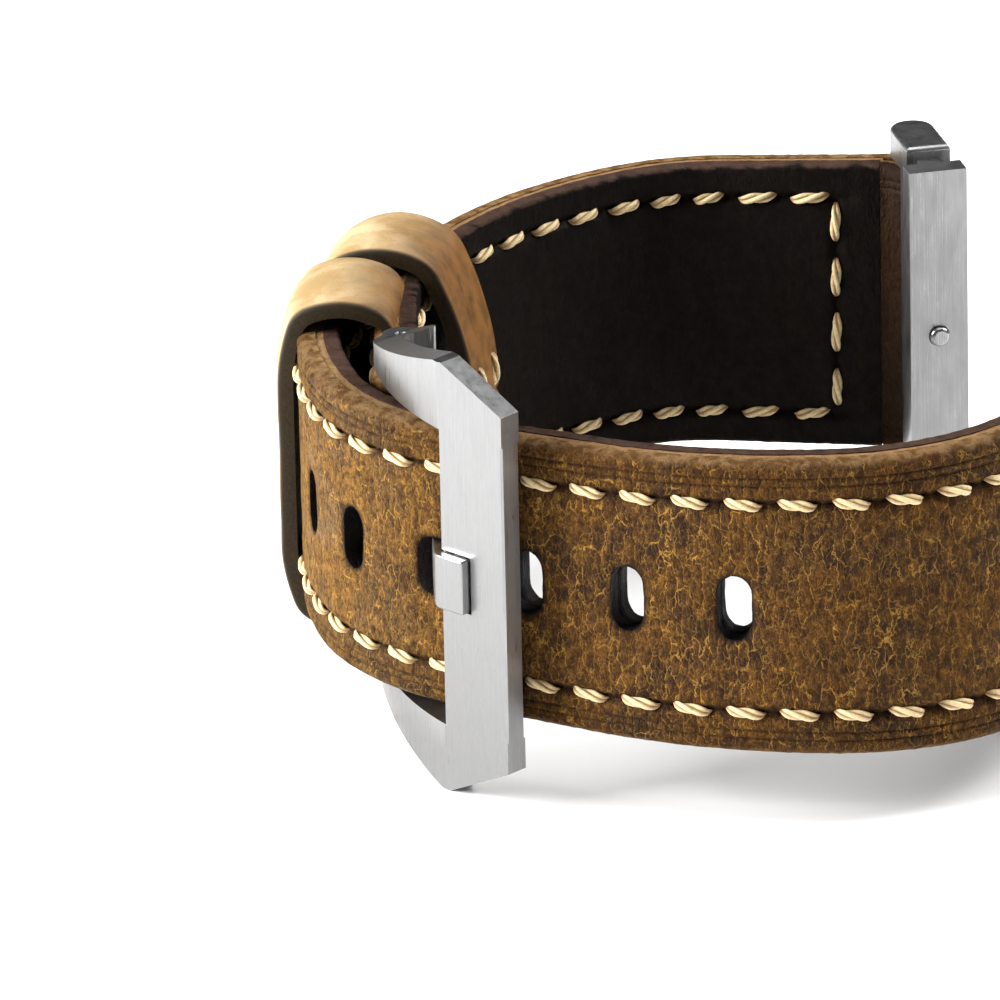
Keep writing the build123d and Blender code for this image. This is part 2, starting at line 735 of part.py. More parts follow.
with BuildPart() as fixed_keeper:
    add(keeper_slab(KEEPER_LENGTH, -keeper_depth, keeper_wall + KEEPER_THICKNESS,
                    keeper_outer_height, outer_corner))
    add(keeper_slab(2 * KEEPER_LENGTH, -2 * keeper_depth, keeper_wall, keeper_height, KEEPER_CORNER),
        mode=Mode.SUBTRACT)
    add(band_solid(short_route, flange_start, flange_end, flange_floor, 2 * keeper_depth), mode=Mode.SUBTRACT)
    add(flange_solid(0))
fixed_keeper.part.label = "fixed_keeper"
export_step(fixed_keeper.part, "parts/fixed_keeper.step")


# Short strap

with BuildPart() as short_top_leather:
    add(layer(short_route, 0, short_length, 0, TOP_THICKNESS))
    fillet(rim_edges(short_top_leather, short_route, 0), EDGE_ROUNDING)
    add(layer(short_route, 0, RETURN_LENGTH - LAYER_PLAY, lining_depth, STRAP_THICKNESS))
    add(layer(short_route, short_return, short_length, lining_depth, STRAP_THICKNESS))
    add_loop(short_lug_bar)
    add_loop(pin_bar)
    cut_short_grooves(0)
    add(tongue_slot, mode=Mode.SUBTRACT)
short_top_leather.part.label = "short_top_leather"
export_step(short_top_leather.part, "parts/short_top_leather.step")

with BuildPart() as short_filler:
    add(layer(short_route, loop_clear, short_length - loop_clear,
              TOP_THICKNESS + LAYER_PLAY, lining_depth - LAYER_PLAY))
    add(flange_solid(POCKET_PLAY), mode=Mode.SUBTRACT)
    add(tongue_slot, mode=Mode.SUBTRACT)
short_filler.part.label = "short_filler"
export_step(short_filler.part, "parts/short_filler.step")

with BuildPart() as short_lining:
    add(layer(short_route, RETURN_LENGTH, short_length - RETURN_LENGTH, lining_depth, STRAP_THICKNESS))
    fillet(rim_edges(short_lining, short_route, STRAP_THICKNESS), LINING_ROUNDING)
    cut_short_grooves(STRAP_THICKNESS)
    add(tongue_slot, mode=Mode.SUBTRACT)
short_lining.part.label = "short_lining"
export_step(short_lining.part, "parts/short_lining.step")


# Stitching

def row_alongs(start, end):
    """Distances of a row's stitches, spread evenly between two ends."""
    gaps = round((end - start) / STITCH_PITCH)
    return [start + (end - start) * n / gaps for n in range(gaps + 1)]


def row_planes(route, start, end, depth, inset):
    """One plane for each stitch of the two rows along the edges."""
    planes = []
    for along in row_alongs(start, end):
        height = half_width(beside(route, along)[0], inset)
        planes.append(strap_plane(route, along, depth, height))
        planes.append(strap_plane(route, along, depth, -height))
    return planes


def cross_planes(route, along, depth, inset):
    """One plane for each stitch of the row across the strap."""
    height = half_width(beside(route, along)[0], inset) - STITCH_PITCH / 2
    return [strap_plane(route, along, depth, level) for level in row_alongs(-height, height)]


def stitches(planes, thickness, turn):
    """One stitch on each plane, raised to its Z side by a signed thickness."""
    with BuildPart() as threads:
        with BuildSketch(*planes):
            SlotOverall(STITCH_LENGTH, STITCH_WIDTH, rotation=turn)
        extrude(amount=thickness)
    return threads.part


outer_thread = GROOVE_DEPTH - STITCH_CLEARANCE
inner_thread = STRAP_THICKNESS - GROOVE_DEPTH + STITCH_CLEARANCE
long_row = (STITCH_TIP_MARGIN, long_length - STITCH_END_MARGIN)
short_row = (STITCH_END_MARGIN, short_row_end)

with BuildPart() as long_stitching:
    inset = STITCH_INSET
    for depth, raised in ((outer_thread, STITCH_THICKNESS), (inner_thread, -STITCH_THICKNESS)):
        add(stitches(row_planes(long_route, *long_row, depth, inset), raised, STITCH_SLANT))
        add(stitches(cross_planes(long_route, cross_on_long, depth, inset), raised, CROSS_TURN))
long_stitching.part.label = "long_stitching"
export_step(long_stitching.part, "parts/long_stitching.step")

with BuildPart() as short_stitching:
    inset = SHORT_STITCH_INSET
    for depth, raised in ((outer_thread, STITCH_THICKNESS), (inner_thread, -STITCH_THICKNESS)):
        add(stitches(row_planes(short_route, *short_row, depth, inset), raised, STITCH_SLANT))
        add(stitches(cross_planes(short_route, cross_on_short, depth, inset), raised, CROSS_TURN))
short_stitching.part.label = "short_stitching"
export_step(short_stitching.part, "parts/short_stitching.step")


# Free keeper

def radial_plane(polar):
    """A plane through the keeper arc's axis: X outwards, Y up."""
    angle = math.radians(polar)
    return Plane(
        origin=(KEEPER_ARC_X, KEEPER_ARC_Y, MIDDLE_Z),
        x_dir=(math.cos(angle), math.sin(angle), 0),
        z_dir=(math.sin(angle), -math.cos(angle), 0),
    )


keeper_axis = Axis((KEEPER_ARC_X, KEEPER_ARC_Y, 0), (0, 0, 1))
ring_wall_middle = ring_low - KEEPER_THICKNESS
ring_mid_polar = ring_end_polar - ring_span / 2


def keeper_stitch_planes():
    """Planes facing the wrist on the free keeper's inner wall, where its ends are sewn."""
    planes = []
    for side in (-1, 1):
        polar = ring_mid_polar + side * KEEPER_STITCH_SHARE * ring_span
        for level in (-KEEPER_STITCH_SPREAD, KEEPER_STITCH_SPREAD):
            angle = math.radians(polar)
            radius = ring_wall_middle + outer_thread
            planes.append(Plane(
                origin=(
                    KEEPER_ARC_X + radius * math.cos(angle),
                    KEEPER_ARC_Y + radius * math.sin(angle),
                    MIDDLE_Z + level,
                ),
                x_dir=(0, 0, 1),
                z_dir=(-math.cos(angle), -math.sin(angle), 0),
            ))
    return planes


with BuildPart() as free_keeper:
    with BuildSketch(radial_plane(ring_start_polar)):
        with Locations(((ring_low + ring_high) / 2, 0)):
            RectangleRounded(ring_high - ring_low + 2 * KEEPER_THICKNESS, 2 * (ring_half + KEEPER_THICKNESS),
                             outer_corner)
            RectangleRounded(ring_high - ring_low, 2 * ring_half, KEEPER_CORNER, mode=Mode.SUBTRACT)
        with Locations(((3 * ring_low + ring_high) / 4, 0)):
            RectangleRounded((ring_high - ring_low) / 2, 2 * ring_half, KEEPER_INNER_CORNER,
                             mode=Mode.SUBTRACT)
    revolve(axis=keeper_axis, revolution_arc=ring_span)
    with BuildSketch(*keeper_stitch_planes()):
        SlotOverall(KEEPER_STITCH_LENGTH + 2 * STITCH_CLEARANCE, STITCH_WIDTH + 2 * STITCH_CLEARANCE)
    extrude(amount=KEEPER_THICKNESS, mode=Mode.SUBTRACT)
free_keeper.part.label = "free_keeper"
export_step(free_keeper.part, "parts/free_keeper.step")

with BuildPart() as free_keeper_stitching:
    with BuildSketch(*[plane.offset(STITCH_CLEARANCE) for plane in keeper_stitch_planes()]):
        SlotOverall(KEEPER_STITCH_LENGTH, STITCH_WIDTH)
    extrude(amount=STITCH_THICKNESS)
free_keeper_stitching.part.label = "free_keeper_stitching"
export_step(free_keeper_stitching.part, "parts/free_keeper_stitching.step")


# Buckle frame

plate_outline = [
    on_plate(0, 0),
    on_plate(FRAME_PLATE_LENGTH, 0),
    on_plate(FRAME_PLATE_LENGTH, FRAME_THICKNESS - FRAME_TAPER),
    on_plate(0, FRAME_THICKNESS),
]
arm_outer_end = beside(arm_route, FRAME_ARM_LENGTH)
arm_inner_end = beside(arm_route, FRAME_ARM_LENGTH, -FRAME_ARM_THICKNESS)
arm_inner_start = beside(arm_route, 0, -FRAME_ARM_THICKNESS)
boss_run = BOSS_REACH - BOSS_NOSE_RADIUS
boss_route = (pin_bar, math.degrees(arm_end_angle) - 90, [(boss_run, 0)])
nose_centre = beside(boss_route, boss_run)
pin_offset = (pin_bar[0] - frame_corner[0], pin_bar[1] - frame_corner[1])
plate_angle = math.radians(FRAME_PLATE_HEADING)
pin_along = pin_offset[0] * math.cos(plate_angle) + pin_offset[1] * math.sin(plate_angle)
foot_start = FRAME_PLATE_LENGTH - FRAME_FOOT_LENGTH / 2
foot_end = FRAME_PLATE_LENGTH + FRAME_FOOT_LENGTH / 2
seat_length = TONGUE_REST + TONGUE_END_PLAY


def draw_arm():
    """Draw the plan of an arm with its share of the plate, in an open BuildLine."""
    Polyline(arm_inner_start, on_plate(0, FRAME_THICKNESS), on_plate(0, 0), on_plate(FRAME_PLATE_LENGTH, 0))
    draw_side(arm_route, 0, FRAME_ARM_LENGTH, 0)
    Line(arm_outer_end, arm_inner_end)
    draw_side(arm_route, 0, FRAME_ARM_LENGTH, -FRAME_ARM_THICKNESS)


def across_boss(along, radius, turn):
    """Two opposite plan points of a circle on the boss's nose line, at a turn to that line."""
    centre = beside(boss_route, along)
    angle = arm_end_angle - math.radians(90 - turn)
    reach = (radius * math.cos(angle), radius * math.sin(angle))
    return (centre[0] - reach[0], centre[1] - reach[1]), (centre[0] + reach[0], centre[1] + reach[1])


def draw_frame_side():
    """Draw the frame's height along the plate's heading, in an open BuildLine."""
    upper = [
        (-OVERRUN, FRAME_CORNER_HALF_HEIGHT),
        (0, FRAME_CORNER_HALF_HEIGHT),
        (foot_start, FRAME_HALF_HEIGHT),
        (foot_end, FRAME_HALF_HEIGHT),
        (pin_along, FRAME_PIN_HALF_HEIGHT),
        (pin_along + OVERRUN, FRAME_PIN_HALF_HEIGHT),
    ]
    lower = [(along, -height) for along, height in reversed(upper)]
    Polyline(*upper, *lower, close=True)


with BuildPart() as buckle_frame:
    with BuildSketch(level_plane(-FRAME_HALF_HEIGHT)):
        with BuildLine():
            Polyline(*plate_outline, close=True)
        make_face()
    extrude(amount=2 * FRAME_HALF_HEIGHT)
    chamfer(buckle_frame.edges().filter_by(Axis.Z), FRAME_EDGE_CHAMFER)
    with BuildSketch(level_plane(-FRAME_HALF_HEIGHT), level_plane(FRAME_OPENING_HALF)):
        with BuildLine():
            draw_arm()
        make_face()
        with BuildLine():
            Polyline(arm_outer_end, *across_boss(0, BOSS_RADIUS, 0), arm_inner_end, close=True)
        make_face()
        with BuildLine():
            Polyline(*across_boss(0, BOSS_RADIUS, 90), *across_boss(boss_run, BOSS_NOSE_RADIUS, -90),
                     close=True)
        make_face()
        with Locations(pin_bar):
            Circle(BOSS_RADIUS)
        with Locations(nose_centre):
            Circle(BOSS_NOSE_RADIUS)
    extrude(amount=FRAME_HALF_HEIGHT - FRAME_OPENING_HALF)
    with BuildSketch(plate_plane):
        with BuildLine():
            draw_frame_side()
        make_face()
    extrude(amount=LOOP_SPAN, both=True, mode=Mode.INTERSECT)
    with BuildSketch(plate_plane.offset(-OVERRUN)):
        with Locations((FRAME_PLATE_LENGTH - seat_length / 2 + OVERRUN / 2, 0)):
            Rectangle(seat_length + OVERRUN, TONGUE_WIDTH + 2 * TONGUE_SIDE_PLAY)
    extrude(amount=OVERRUN + TONGUE_SEAT_DEPTH, mode=Mode.SUBTRACT)
    add(cylinder_on(pin_bar, TIP_PIN_RADIUS + TIP_PIN_PLAY, -FRAME_HALF_HEIGHT, FRAME_HALF_HEIGHT),
        mode=Mode.SUBTRACT)
buckle_frame.part.label = "buckle_frame"
export_step(buckle_frame.part, "parts/buckle_frame.step")


# Tongue

with BuildPart() as buckle_tongue:
    with BuildSketch(level_plane(-TONGUE_WIDTH / 2)):
        with BuildLine():
            Polyline(
                bend_outer, on_leg(leg_length * math.cos(leg_lean), 0),
                on_leg(leg_length * math.cos(leg_lean), TONGUE_THICKNESS), bend_inner, tip_inner, tip_outer,
                close=True,
            )
        make_face()
        with Locations(pin_bar):
            Circle(tongue_eye_radius)
            Circle(BAR_RADIUS + TONGUE_EYE_PLAY, mode=Mode.SUBTRACT)
    extrude(amount=TONGUE_WIDTH)
    foot_edges = buckle_tongue.edges().filter_by(Axis.Z).sort_by_distance((*tip_outer, MIDDLE_Z))
    fillet(foot_edges[0], TONGUE_ROUNDING)
    bend_edges = buckle_tongue.edges().filter_by(Axis.Z).sort_by_distance((*bend_outer, MIDDLE_Z))
    fillet(bend_edges[0], TONGUE_ROUNDING)
buckle_tongue.part.label = "buckle_tongue"
export_step(buckle_tongue.part, "parts/buckle_tongue.step")


# Spring bars

ear_inner = LUG_WIDTH / 2 + EAR_PLAY
ear_outer = ear_inner + EAR_THICKNESS
bars = [
    ("buckle_bar", pin_bar, FRAME_OPENING_HALF),
    ("rear_bar", short_lug_bar, ear_inner),
    ("front_bar", long_lug_bar, ear_inner),
]


plunger_radius = BAR_BORE_RADIUS - PLUNGER_PLAY


def upright(low, high, side):
    """Order two heights on the upper side (1) or the lower side (-1)."""
    return (low, high) if side > 0 else (-high, -low)


for name, centre, gap_half in bars:
    barrel_half = gap_half - BAR_END_PLAY
    chamber_low = BAR_WEB / 2
    chamber_high = barrel_half - BAR_END_WALL
    plunger_high = chamber_high - PLUNGER_PLAY
    plunger_low = plunger_high - TIP_PLUNGER_LENGTH
    with BuildPart() as barrel:
        add(cylinder_on(centre, BAR_RADIUS, -barrel_half, barrel_half))
        add(cylinder_on(centre, TIP_PIN_RADIUS + TIP_PIN_PLAY, -barrel_half, barrel_half), mode=Mode.SUBTRACT)
        for side in (-1, 1):
            add(cylinder_on(centre, BAR_BORE_RADIUS, *upright(chamber_low, chamber_high, side)),
                mode=Mode.SUBTRACT)
        add(cylinder_on(centre, BAR_BORE_RADIUS, -chamber_low, chamber_low))
    barrel.part.label = f"{name}_barrel"
    export_step(barrel.part, f"parts/{name}_barrel.step")
    for side, end in ((1, "upper"), (-1, "lower")):
        with BuildPart() as spring:
            add(cylinder_on(centre, BAR_BORE_RADIUS - SPRING_PLAY,
                            *upright(chamber_low + SPRING_PLAY, plunger_low - SPRING_PLAY, side)))
            add(cylinder_on(centre, BAR_BORE_RADIUS - SPRING_PLAY - SPRING_WALL, -gap_half, gap_half),
                mode=Mode.SUBTRACT)
        spring.part.label = f"{name}_spring_{end}"
        export_step(spring.part, f"parts/{name}_spring_{end}.step")
        with BuildPart() as tip:
            add(cylinder_on(centre, plunger_radius, *upright(plunger_low, plunger_high, side)))
            add(cylinder_on(centre, TIP_PIN_RADIUS, *upright(plunger_low, gap_half + TIP_ENGAGEMENT, side)))
        tip.part.label = f"{name}_tip_{end}"
        export_step(tip.part, f"parts/{name}_tip_{end}.step")


# Lug adapters, each pointing at the other lug bar

bridge_start = EAR_LENGTH - BRIDGE_THICKNESS
head_start = EAR_LENGTH + RAIL_NECK_LENGTH
head_end = head_start + RAIL_THICKNESS
rail_half = ear_outer - RAIL_END_MARGIN
collar_high = head_end - DETENT_LIP
collar_low = collar_high - DETENT_COLLAR_LENGTH
chamber_floor = collar_low - DETENT_TRAVEL - DETENT_SPRING_THICKNESS - DETENT_SPARE


def bar_heading(bar, towards):
    return math.degrees(math.atan2(towards[1] - bar[1], towards[0] - bar[0]))


def adapter_block(bar, heading, start, end, width, low, high):
    """A block on a lug bar's axis frame, between two distances along its heading."""
    angle = math.radians(heading)
    plane = Plane(
        origin=(bar[0], bar[1], MIDDLE_Z + low),
        x_dir=(math.cos(angle), math.sin(angle), 0),
        z_dir=(0, 0, 1),
    )
    with BuildPart() as block:
        with BuildSketch(plane):
            with Locations(((start + end) / 2, 0)):
                Rectangle(end - start, width)
        extrude(amount=high - low)
    return block.part


def detent_rod(bar, heading, start, end, radius):
    """A level cylinder along a lug bar's heading, at mid-width."""
    angle = math.radians(heading)
    direction = (math.cos(angle), math.sin(angle), 0)
    origin = (bar[0] + start * direction[0], bar[1] + start * direction[1], MIDDLE_Z)
    with BuildPart() as rod:
        with BuildSketch(Plane(origin=origin, x_dir=(0, 0, 1), z_dir=direction)):
            Circle(radius)
        extrude(amount=end - start)
    return rod.part


for name, bar, other in (("rear", short_lug_bar, long_lug_bar), ("front", long_lug_bar, short_lug_bar)):
    heading = bar_heading(bar, other)
    with BuildPart() as adapter:
        for side in (-1, 1):
            add(adapter_block(bar, heading, 0, EAR_LENGTH, EAR_WIDTH, *upright(ear_inner, ear_outer, side)))
            add(cylinder_on(bar, EAR_WIDTH / 2, *upright(ear_inner, ear_outer, side)))
        for face in (adapter.faces().sort_by(Axis.Z)[0], adapter.faces().sort_by(Axis.Z)[-1]):
            fillet(face.edges(), EAR_FILLET)
        add(adapter_block(bar, heading, bridge_start, EAR_LENGTH, EAR_WIDTH, -rail_half, rail_half))
        add(adapter_block(bar, heading, bridge_start, head_start, RAIL_NECK_WIDTH, -rail_half, rail_half))
        add(adapter_block(bar, heading, head_start, head_end, RAIL_WIDTH, -rail_half, rail_half))
        hole_depth = TIP_ENGAGEMENT + TIP_HOLE_SPARE
        for side in (-1, 1):
            add(cylinder_on(bar, TIP_PIN_RADIUS + TIP_PIN_PLAY,
                            *upright(ear_inner, ear_inner + hole_depth, side)), mode=Mode.SUBTRACT)
        add(detent_rod(bar, heading, chamber_floor, collar_high, DETENT_RADIUS + DETENT_COLLAR + DETENT_PLAY),
            mode=Mode.SUBTRACT)
        add(detent_rod(bar, heading, chamber_floor, head_end, DETENT_RADIUS + DETENT_PLAY),
            mode=Mode.SUBTRACT)
    adapter.part.label = f"{name}_adapter"
    export_step(adapter.part, f"parts/{name}_adapter.step")
    with BuildPart() as detent:
        add(detent_rod(bar, heading, collar_low, collar_high - DETENT_PLAY, DETENT_RADIUS + DETENT_COLLAR))
        add(detent_rod(bar, heading, collar_low, head_end + DETENT_PROUD, DETENT_RADIUS))
        nose = (*beside((bar, heading, [(0, 0)]), head_end + DETENT_PROUD), MIDDLE_Z)
        fillet(detent.edges().filter_by(GeomType.CIRCLE).sort_by_distance(nose)[0], DETENT_ROUNDING)
    detent.part.label = f"{name}_detent_pin"
    export_step(detent.part, f"parts/{name}_detent_pin.step")
    with BuildPart() as washer:
        washer_end = chamber_floor + DETENT_SPRING_THICKNESS
        add(detent_rod(bar, heading, chamber_floor, washer_end, DETENT_RADIUS + DETENT_COLLAR))
        add(detent_rod(bar, heading, chamber_floor, washer_end, DETENT_SPRING_BORE), mode=Mode.SUBTRACT)
    washer.part.label = f"{name}_detent_spring"
    export_step(washer.part, f"parts/{name}_detent_spring.step")
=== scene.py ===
"""A buckled leather watch strap: its leathers, thread, keepers and steel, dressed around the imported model."""

import logging
import math
from collections.abc import Callable, Sequence
from dataclasses import dataclass, field
from enum import Enum
from functools import cache, cached_property

import bmesh
import bpy
from mathutils import Matrix, Vector, noise


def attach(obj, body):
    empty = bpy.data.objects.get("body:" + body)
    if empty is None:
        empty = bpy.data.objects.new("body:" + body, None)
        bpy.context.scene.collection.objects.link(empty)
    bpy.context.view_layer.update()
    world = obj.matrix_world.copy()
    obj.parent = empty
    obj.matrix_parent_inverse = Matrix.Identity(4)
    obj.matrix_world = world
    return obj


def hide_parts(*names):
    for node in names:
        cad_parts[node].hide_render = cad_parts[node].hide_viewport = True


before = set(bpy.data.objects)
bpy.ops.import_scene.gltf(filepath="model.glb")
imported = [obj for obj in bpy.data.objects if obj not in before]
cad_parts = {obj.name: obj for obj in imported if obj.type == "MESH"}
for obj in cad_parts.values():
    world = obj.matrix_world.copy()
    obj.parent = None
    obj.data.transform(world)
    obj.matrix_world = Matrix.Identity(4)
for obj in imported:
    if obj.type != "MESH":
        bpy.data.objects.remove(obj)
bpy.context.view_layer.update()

log = logging.getLogger("watch_strap")

MM = 0.001                  # a millimetre in metres
MIDDLE_Z = 17.1             # height of the strap's middle line, in mm
HALF = 11.0                 # half of the width that the flat shapes are drawn at, in mm
FAR = 99.0                  # farther than any edge or hole, in mm
FULL_TURN = 2 * math.pi
Point = tuple[float, float]
Colour = tuple[float, float, float]
Place = tuple[float, float, float]
Where = Callable[[float, float, float], Place]
Height = Callable[[float, float], tuple[float, Vector]]
Socket = bpy.types.NodeSocket
Sockets = bpy.types.bpy_prop_collection
Input = Socket | float | tuple[float, ...]
Results = dict[str, Socket]
Drawing = Callable[["Wiring", Sockets, Socket], Results]


def smooth(value: float, low: float, high: float) -> float:
    """Ease from 0 at the low value to 1 at the high one."""
    share = min(1.0, max(0.0, (value - low) / (high - low)))
    return share * share * (3 - 2 * share)


def bell(off: float, width: float) -> float:
    """Fall from 1 at an offset of 0 to nothing over a few widths."""
    return math.exp(-((off / width) ** 2))


def rough(x: float, y: float, z: float) -> float:
    """Give smooth noise round 0 at a place."""
    return noise.noise(Vector((x, y, z)))


def rim_drop(inset: float, radius: float) -> float:
    """How far a rounded rim lies lower at a distance from its edge."""
    left = max(0.0, radius - inset)
    return radius - math.sqrt(max(0.0, radius ** 2 - left ** 2))


def spaced(low: float, high: float, count: int) -> list[float]:
    """Positions from one value to another in so many equal steps."""
    return [low + (high - low) * n / count for n in range(count + 1)]


def mirrored(insets: Sequence[float], half: float) -> list[float]:
    """Positions from one edge to the other, from insets that end in the middle."""
    return [inset - half for inset in insets] + [half - inset for inset in reversed(insets[:-1])]


def baked(mesh: bmesh.types.BMesh, name: str) -> bpy.types.Mesh:
    """Turn a mesh in the making into a finished one.

    Args:
        mesh: what is turned, and then freed.
        name: the new one's name.

    Returns:
        The finished mesh.
    """
    data = bpy.data.meshes.new(name)
    mesh.to_mesh(data)
    mesh.free()
    return data


def stand(name: str, data: bpy.types.ID) -> bpy.types.Object:
    """Put an object into the scene."""
    item = bpy.data.objects.new(name, data)
    bpy.context.scene.collection.objects.link(item)
    return item


def tint(red: int, green: int, blue: int) -> Colour:
    """Turn a display colour, each part from 0 to 255, into the linear one that shaders use."""
    shares = [part / 255 for part in (red, green, blue)]
    return tuple(s / 12.92 if s <= 0.04045 else ((s + 0.055) / 1.055) ** 2.4 for s in shares)


@dataclass(frozen=True)
class Route:
    """A line of straight and curved runs, in mm. A positive radius turns left and 0 is straight."""

    start: Point
    heading: float
    runs: tuple[Point, ...]

    @cached_property
    def length(self) -> float:
        """Length of all the runs."""
        return sum(length for length, _ in self.runs)

    def walk(self, along: float) -> Place:
        """Follow the route.

        Args:
            along: distance from its start.

        Returns:
            The point's two coordinates and the heading in radians.
        """
        (x, y), angle, left = self.start, math.radians(self.heading), along
        for index, (length, radius) in enumerate(self.runs):
            is_last = index == len(self.runs) - 1
            here = left if is_last or left <= length else length
            if radius == 0:
                x, y = x + here * math.cos(angle), y + here * math.sin(angle)
            else:
                turned = angle + here / radius
                x += radius * (math.sin(turned) - math.sin(angle))
                y -= radius * (math.cos(turned) - math.cos(angle))
                angle = turned
            left -= here
            if left <= 0 and not is_last:
                break
        return x, y, angle

    def beside(self, along: float, aside: float = 0.0) -> Point:
        """Give the point at a distance along the route and aside to its left."""
        x, y, angle = self.walk(along)
        return x - aside * math.sin(angle), y + aside * math.cos(angle)

    @staticmethod
    def about(centre: Point, heading: float, runs: tuple[Point, ...], turning: int) -> "Route":
        """Place a route so that one of its curved runs turns about a centre.

        Args:
            centre: the centre.
            heading: heading at the start, in degrees.
            runs: the runs.
            turning: which run turns about the centre.

        Returns:
            The placed route.
        """
        loose = Route((0.0, 0.0), heading, runs)
        hub = loose.beside(sum(length for length, _ in runs[:turning]), runs[turning][1])
        return Route((centre[0] - hub[0], centre[1] - hub[1]), heading, runs)


@dataclass(frozen=True)
class Plan:
    """Sizes that the two straps share, in mm, as the solids have them."""

    centre: Point = (7.88, 3.57)
    top: float = 1.4
    filler: float = 0.6
    thickness: float = 3.3
    bar_sink: float = 2.1
    loop_radius: float = 2.3
    loop_wall: float = 1.35
    return_length: float = 2.49
    return_gap: float = 0.1
    tip_angle: float = 254.0 - math.degrees(12.2 / 35.0)

    @cached_property
    def short(self) -> Route:
        """Outer side of the short strap, from the rear lug bar to the buckle bar."""
        return Route.about(self.centre, 174.2, ((14.8, 0), (9.0, 17.3), (36.0, 31.4), (14.9, 0)), 2)

    @cached_property
    def long(self) -> Route:
        """Outer side of the long strap, from its tip to the front lug bar."""
        runs = ((12.2, 35.0), (10.0, 0), (8.14, 22.0), (7.1, 39.8), (16.8, 20.5),
                (10.7, 0), (19.6, 40.7), (26.2, 20.0), (3.0, 0))
        return Route.about(self.centre, self.tip_angle, runs, 0)

    @cached_property
    def taper(self) -> Point:
        """Where along X the strap is narrowest and widest."""
        pin = self.short.beside(self.short.length, self.bar_sink)
        lug = self.long.beside(self.long.length, self.bar_sink)
        return pin[0], lug[0]

    def half_width(self, x: float) -> float:
        """Half of the strap's width at one place along X."""
        low, high = self.taper
        return HALF + (x - low) / (high - low)


PLAN = Plan()


class Face(Enum):
    """Which side of a strap a sheet's finished face looks to."""

    OUTER = "outer"
    INNER = "inner"


@dataclass(frozen=True)
class Opening:
    """A hole through the long strap, in the flat, in mm."""

    along: float
    half_length: float = 1.25
    half_height: float = 2.4
    corner: float = 1.25
    lean: float = 0.0
    ragged: float = 0.05
    pinch: float = 0.07

    def centre_at(self, depth: float) -> float:
        """Where the hole's middle is at a depth under the outer side."""
        return self.along + self.lean * depth

    def edge_point(self, share_x: float, share_y: float, depth: float) -> Point:
        """Give the point of the hole's edge for a point on a rectangle round it.

        Args:
            share_x: the rectangle's point along the strap, from -1 to 1.
            share_y: the same across the strap.
            depth: depth under the outer side.

        Returns:
            The point in the flat.
        """
        x, y = share_x * self.half_length, share_y * self.half_height
        room_x, room_y = self.half_length - self.corner, self.half_height - self.corner
        core_x, core_y = max(-room_x, min(room_x, x)), max(-room_y, min(room_y, y))
        wobble = self.ragged * rough(self.along, 3 * share_x, 3 * share_y)
        stretch = (self.corner + wobble) / math.hypot(x - core_x, y - core_y)
        x = (core_x + (x - core_x) * stretch) * (1 - self.pinch * share_y * share_y)
        y = core_y + (y - core_y) * stretch
        return self.centre_at(depth) + x, y

    def gap(self, x: float, y: float, depth: float) -> float:
        """Measure from a point in the flat to the hole's edge.

        Args:
            x: distance along the strap.
            y: distance from mid-width.
            depth: depth under the outer side.

        Returns:
            The distance, less than 0 inside the hole.
        """
        dx = max(0.0, abs(x - self.centre_at(depth)) - self.half_length + self.corner)
        dy = max(0.0, abs(y) - self.half_height + self.corner)
        return math.hypot(dx, dy) - self.corner


@dataclass(frozen=True)
class Rows:
    """Two stitch rows along a strap and one across it, in mm."""

    start: float
    end: float
    inset: float
    cross: float
    pitch: float = 4.0
    reach: float = 1.45
    groove: float = 0.32
    pit: float = 0.3
    spread: float = 0.36
    run_out: Point = (0.8, 2.2)
    margin: float = 1.2
    lead: float = 0.4

    @cached_property
    def alongs(self) -> list[float]:
        """Where the stitches of a row lie."""
        return spaced(self.start, self.end, round((self.end - self.start) / self.pitch))

    @cached_property
    def levels(self) -> list[float]:
        """Where the stitches of the cross row lie."""
        high = HALF - self.inset - self.pitch / 2
        return spaced(-high, high, round(2 * high / self.pitch))

    def dent(self, off: float, from_end: float, fade: float) -> Point:
        """Give the groove's depth and darkness off its line, at a distance from a stitch's end."""
        dark = fade * bell(off, self.spread)
        return dark * (self.groove + self.pit * bell(from_end, self.spread)), dark

    def press(self, x: float, y: float) -> Point:
        """Say how the thread presses the leather.

        Args:
            x: distance along the strap.
            y: distance from mid-width.

        Returns:
            The groove's depth in mm, and its darkness from 0 to 1.
        """
        inset = HALF - abs(y)
        low, high = min(self.cross, self.start), max(self.cross, self.end)
        near, far = self.run_out
        dents = [(0.0, 0.0)]
        if low - far < x < high + far and abs(inset - self.inset) < self.margin:
            fade = smooth(x, low - far, low - near) * (1 - smooth(x, high + near, high + far))
            nearest = min(self.alongs, key=lambda along: abs(along - x))
            dents.append(self.dent(inset - self.inset, abs(x - nearest) - self.reach, fade))
        if abs(x - self.cross) < self.margin and inset > self.inset - self.lead:
            fade = smooth(inset, self.inset - self.lead, self.inset)
            nearest = min(self.levels, key=lambda level: abs(level - y))
            dents.append(self.dent(x - self.cross, abs(y - nearest) - self.reach, fade))
        return max(depth for depth, _ in dents), max(dark for _, dark in dents)


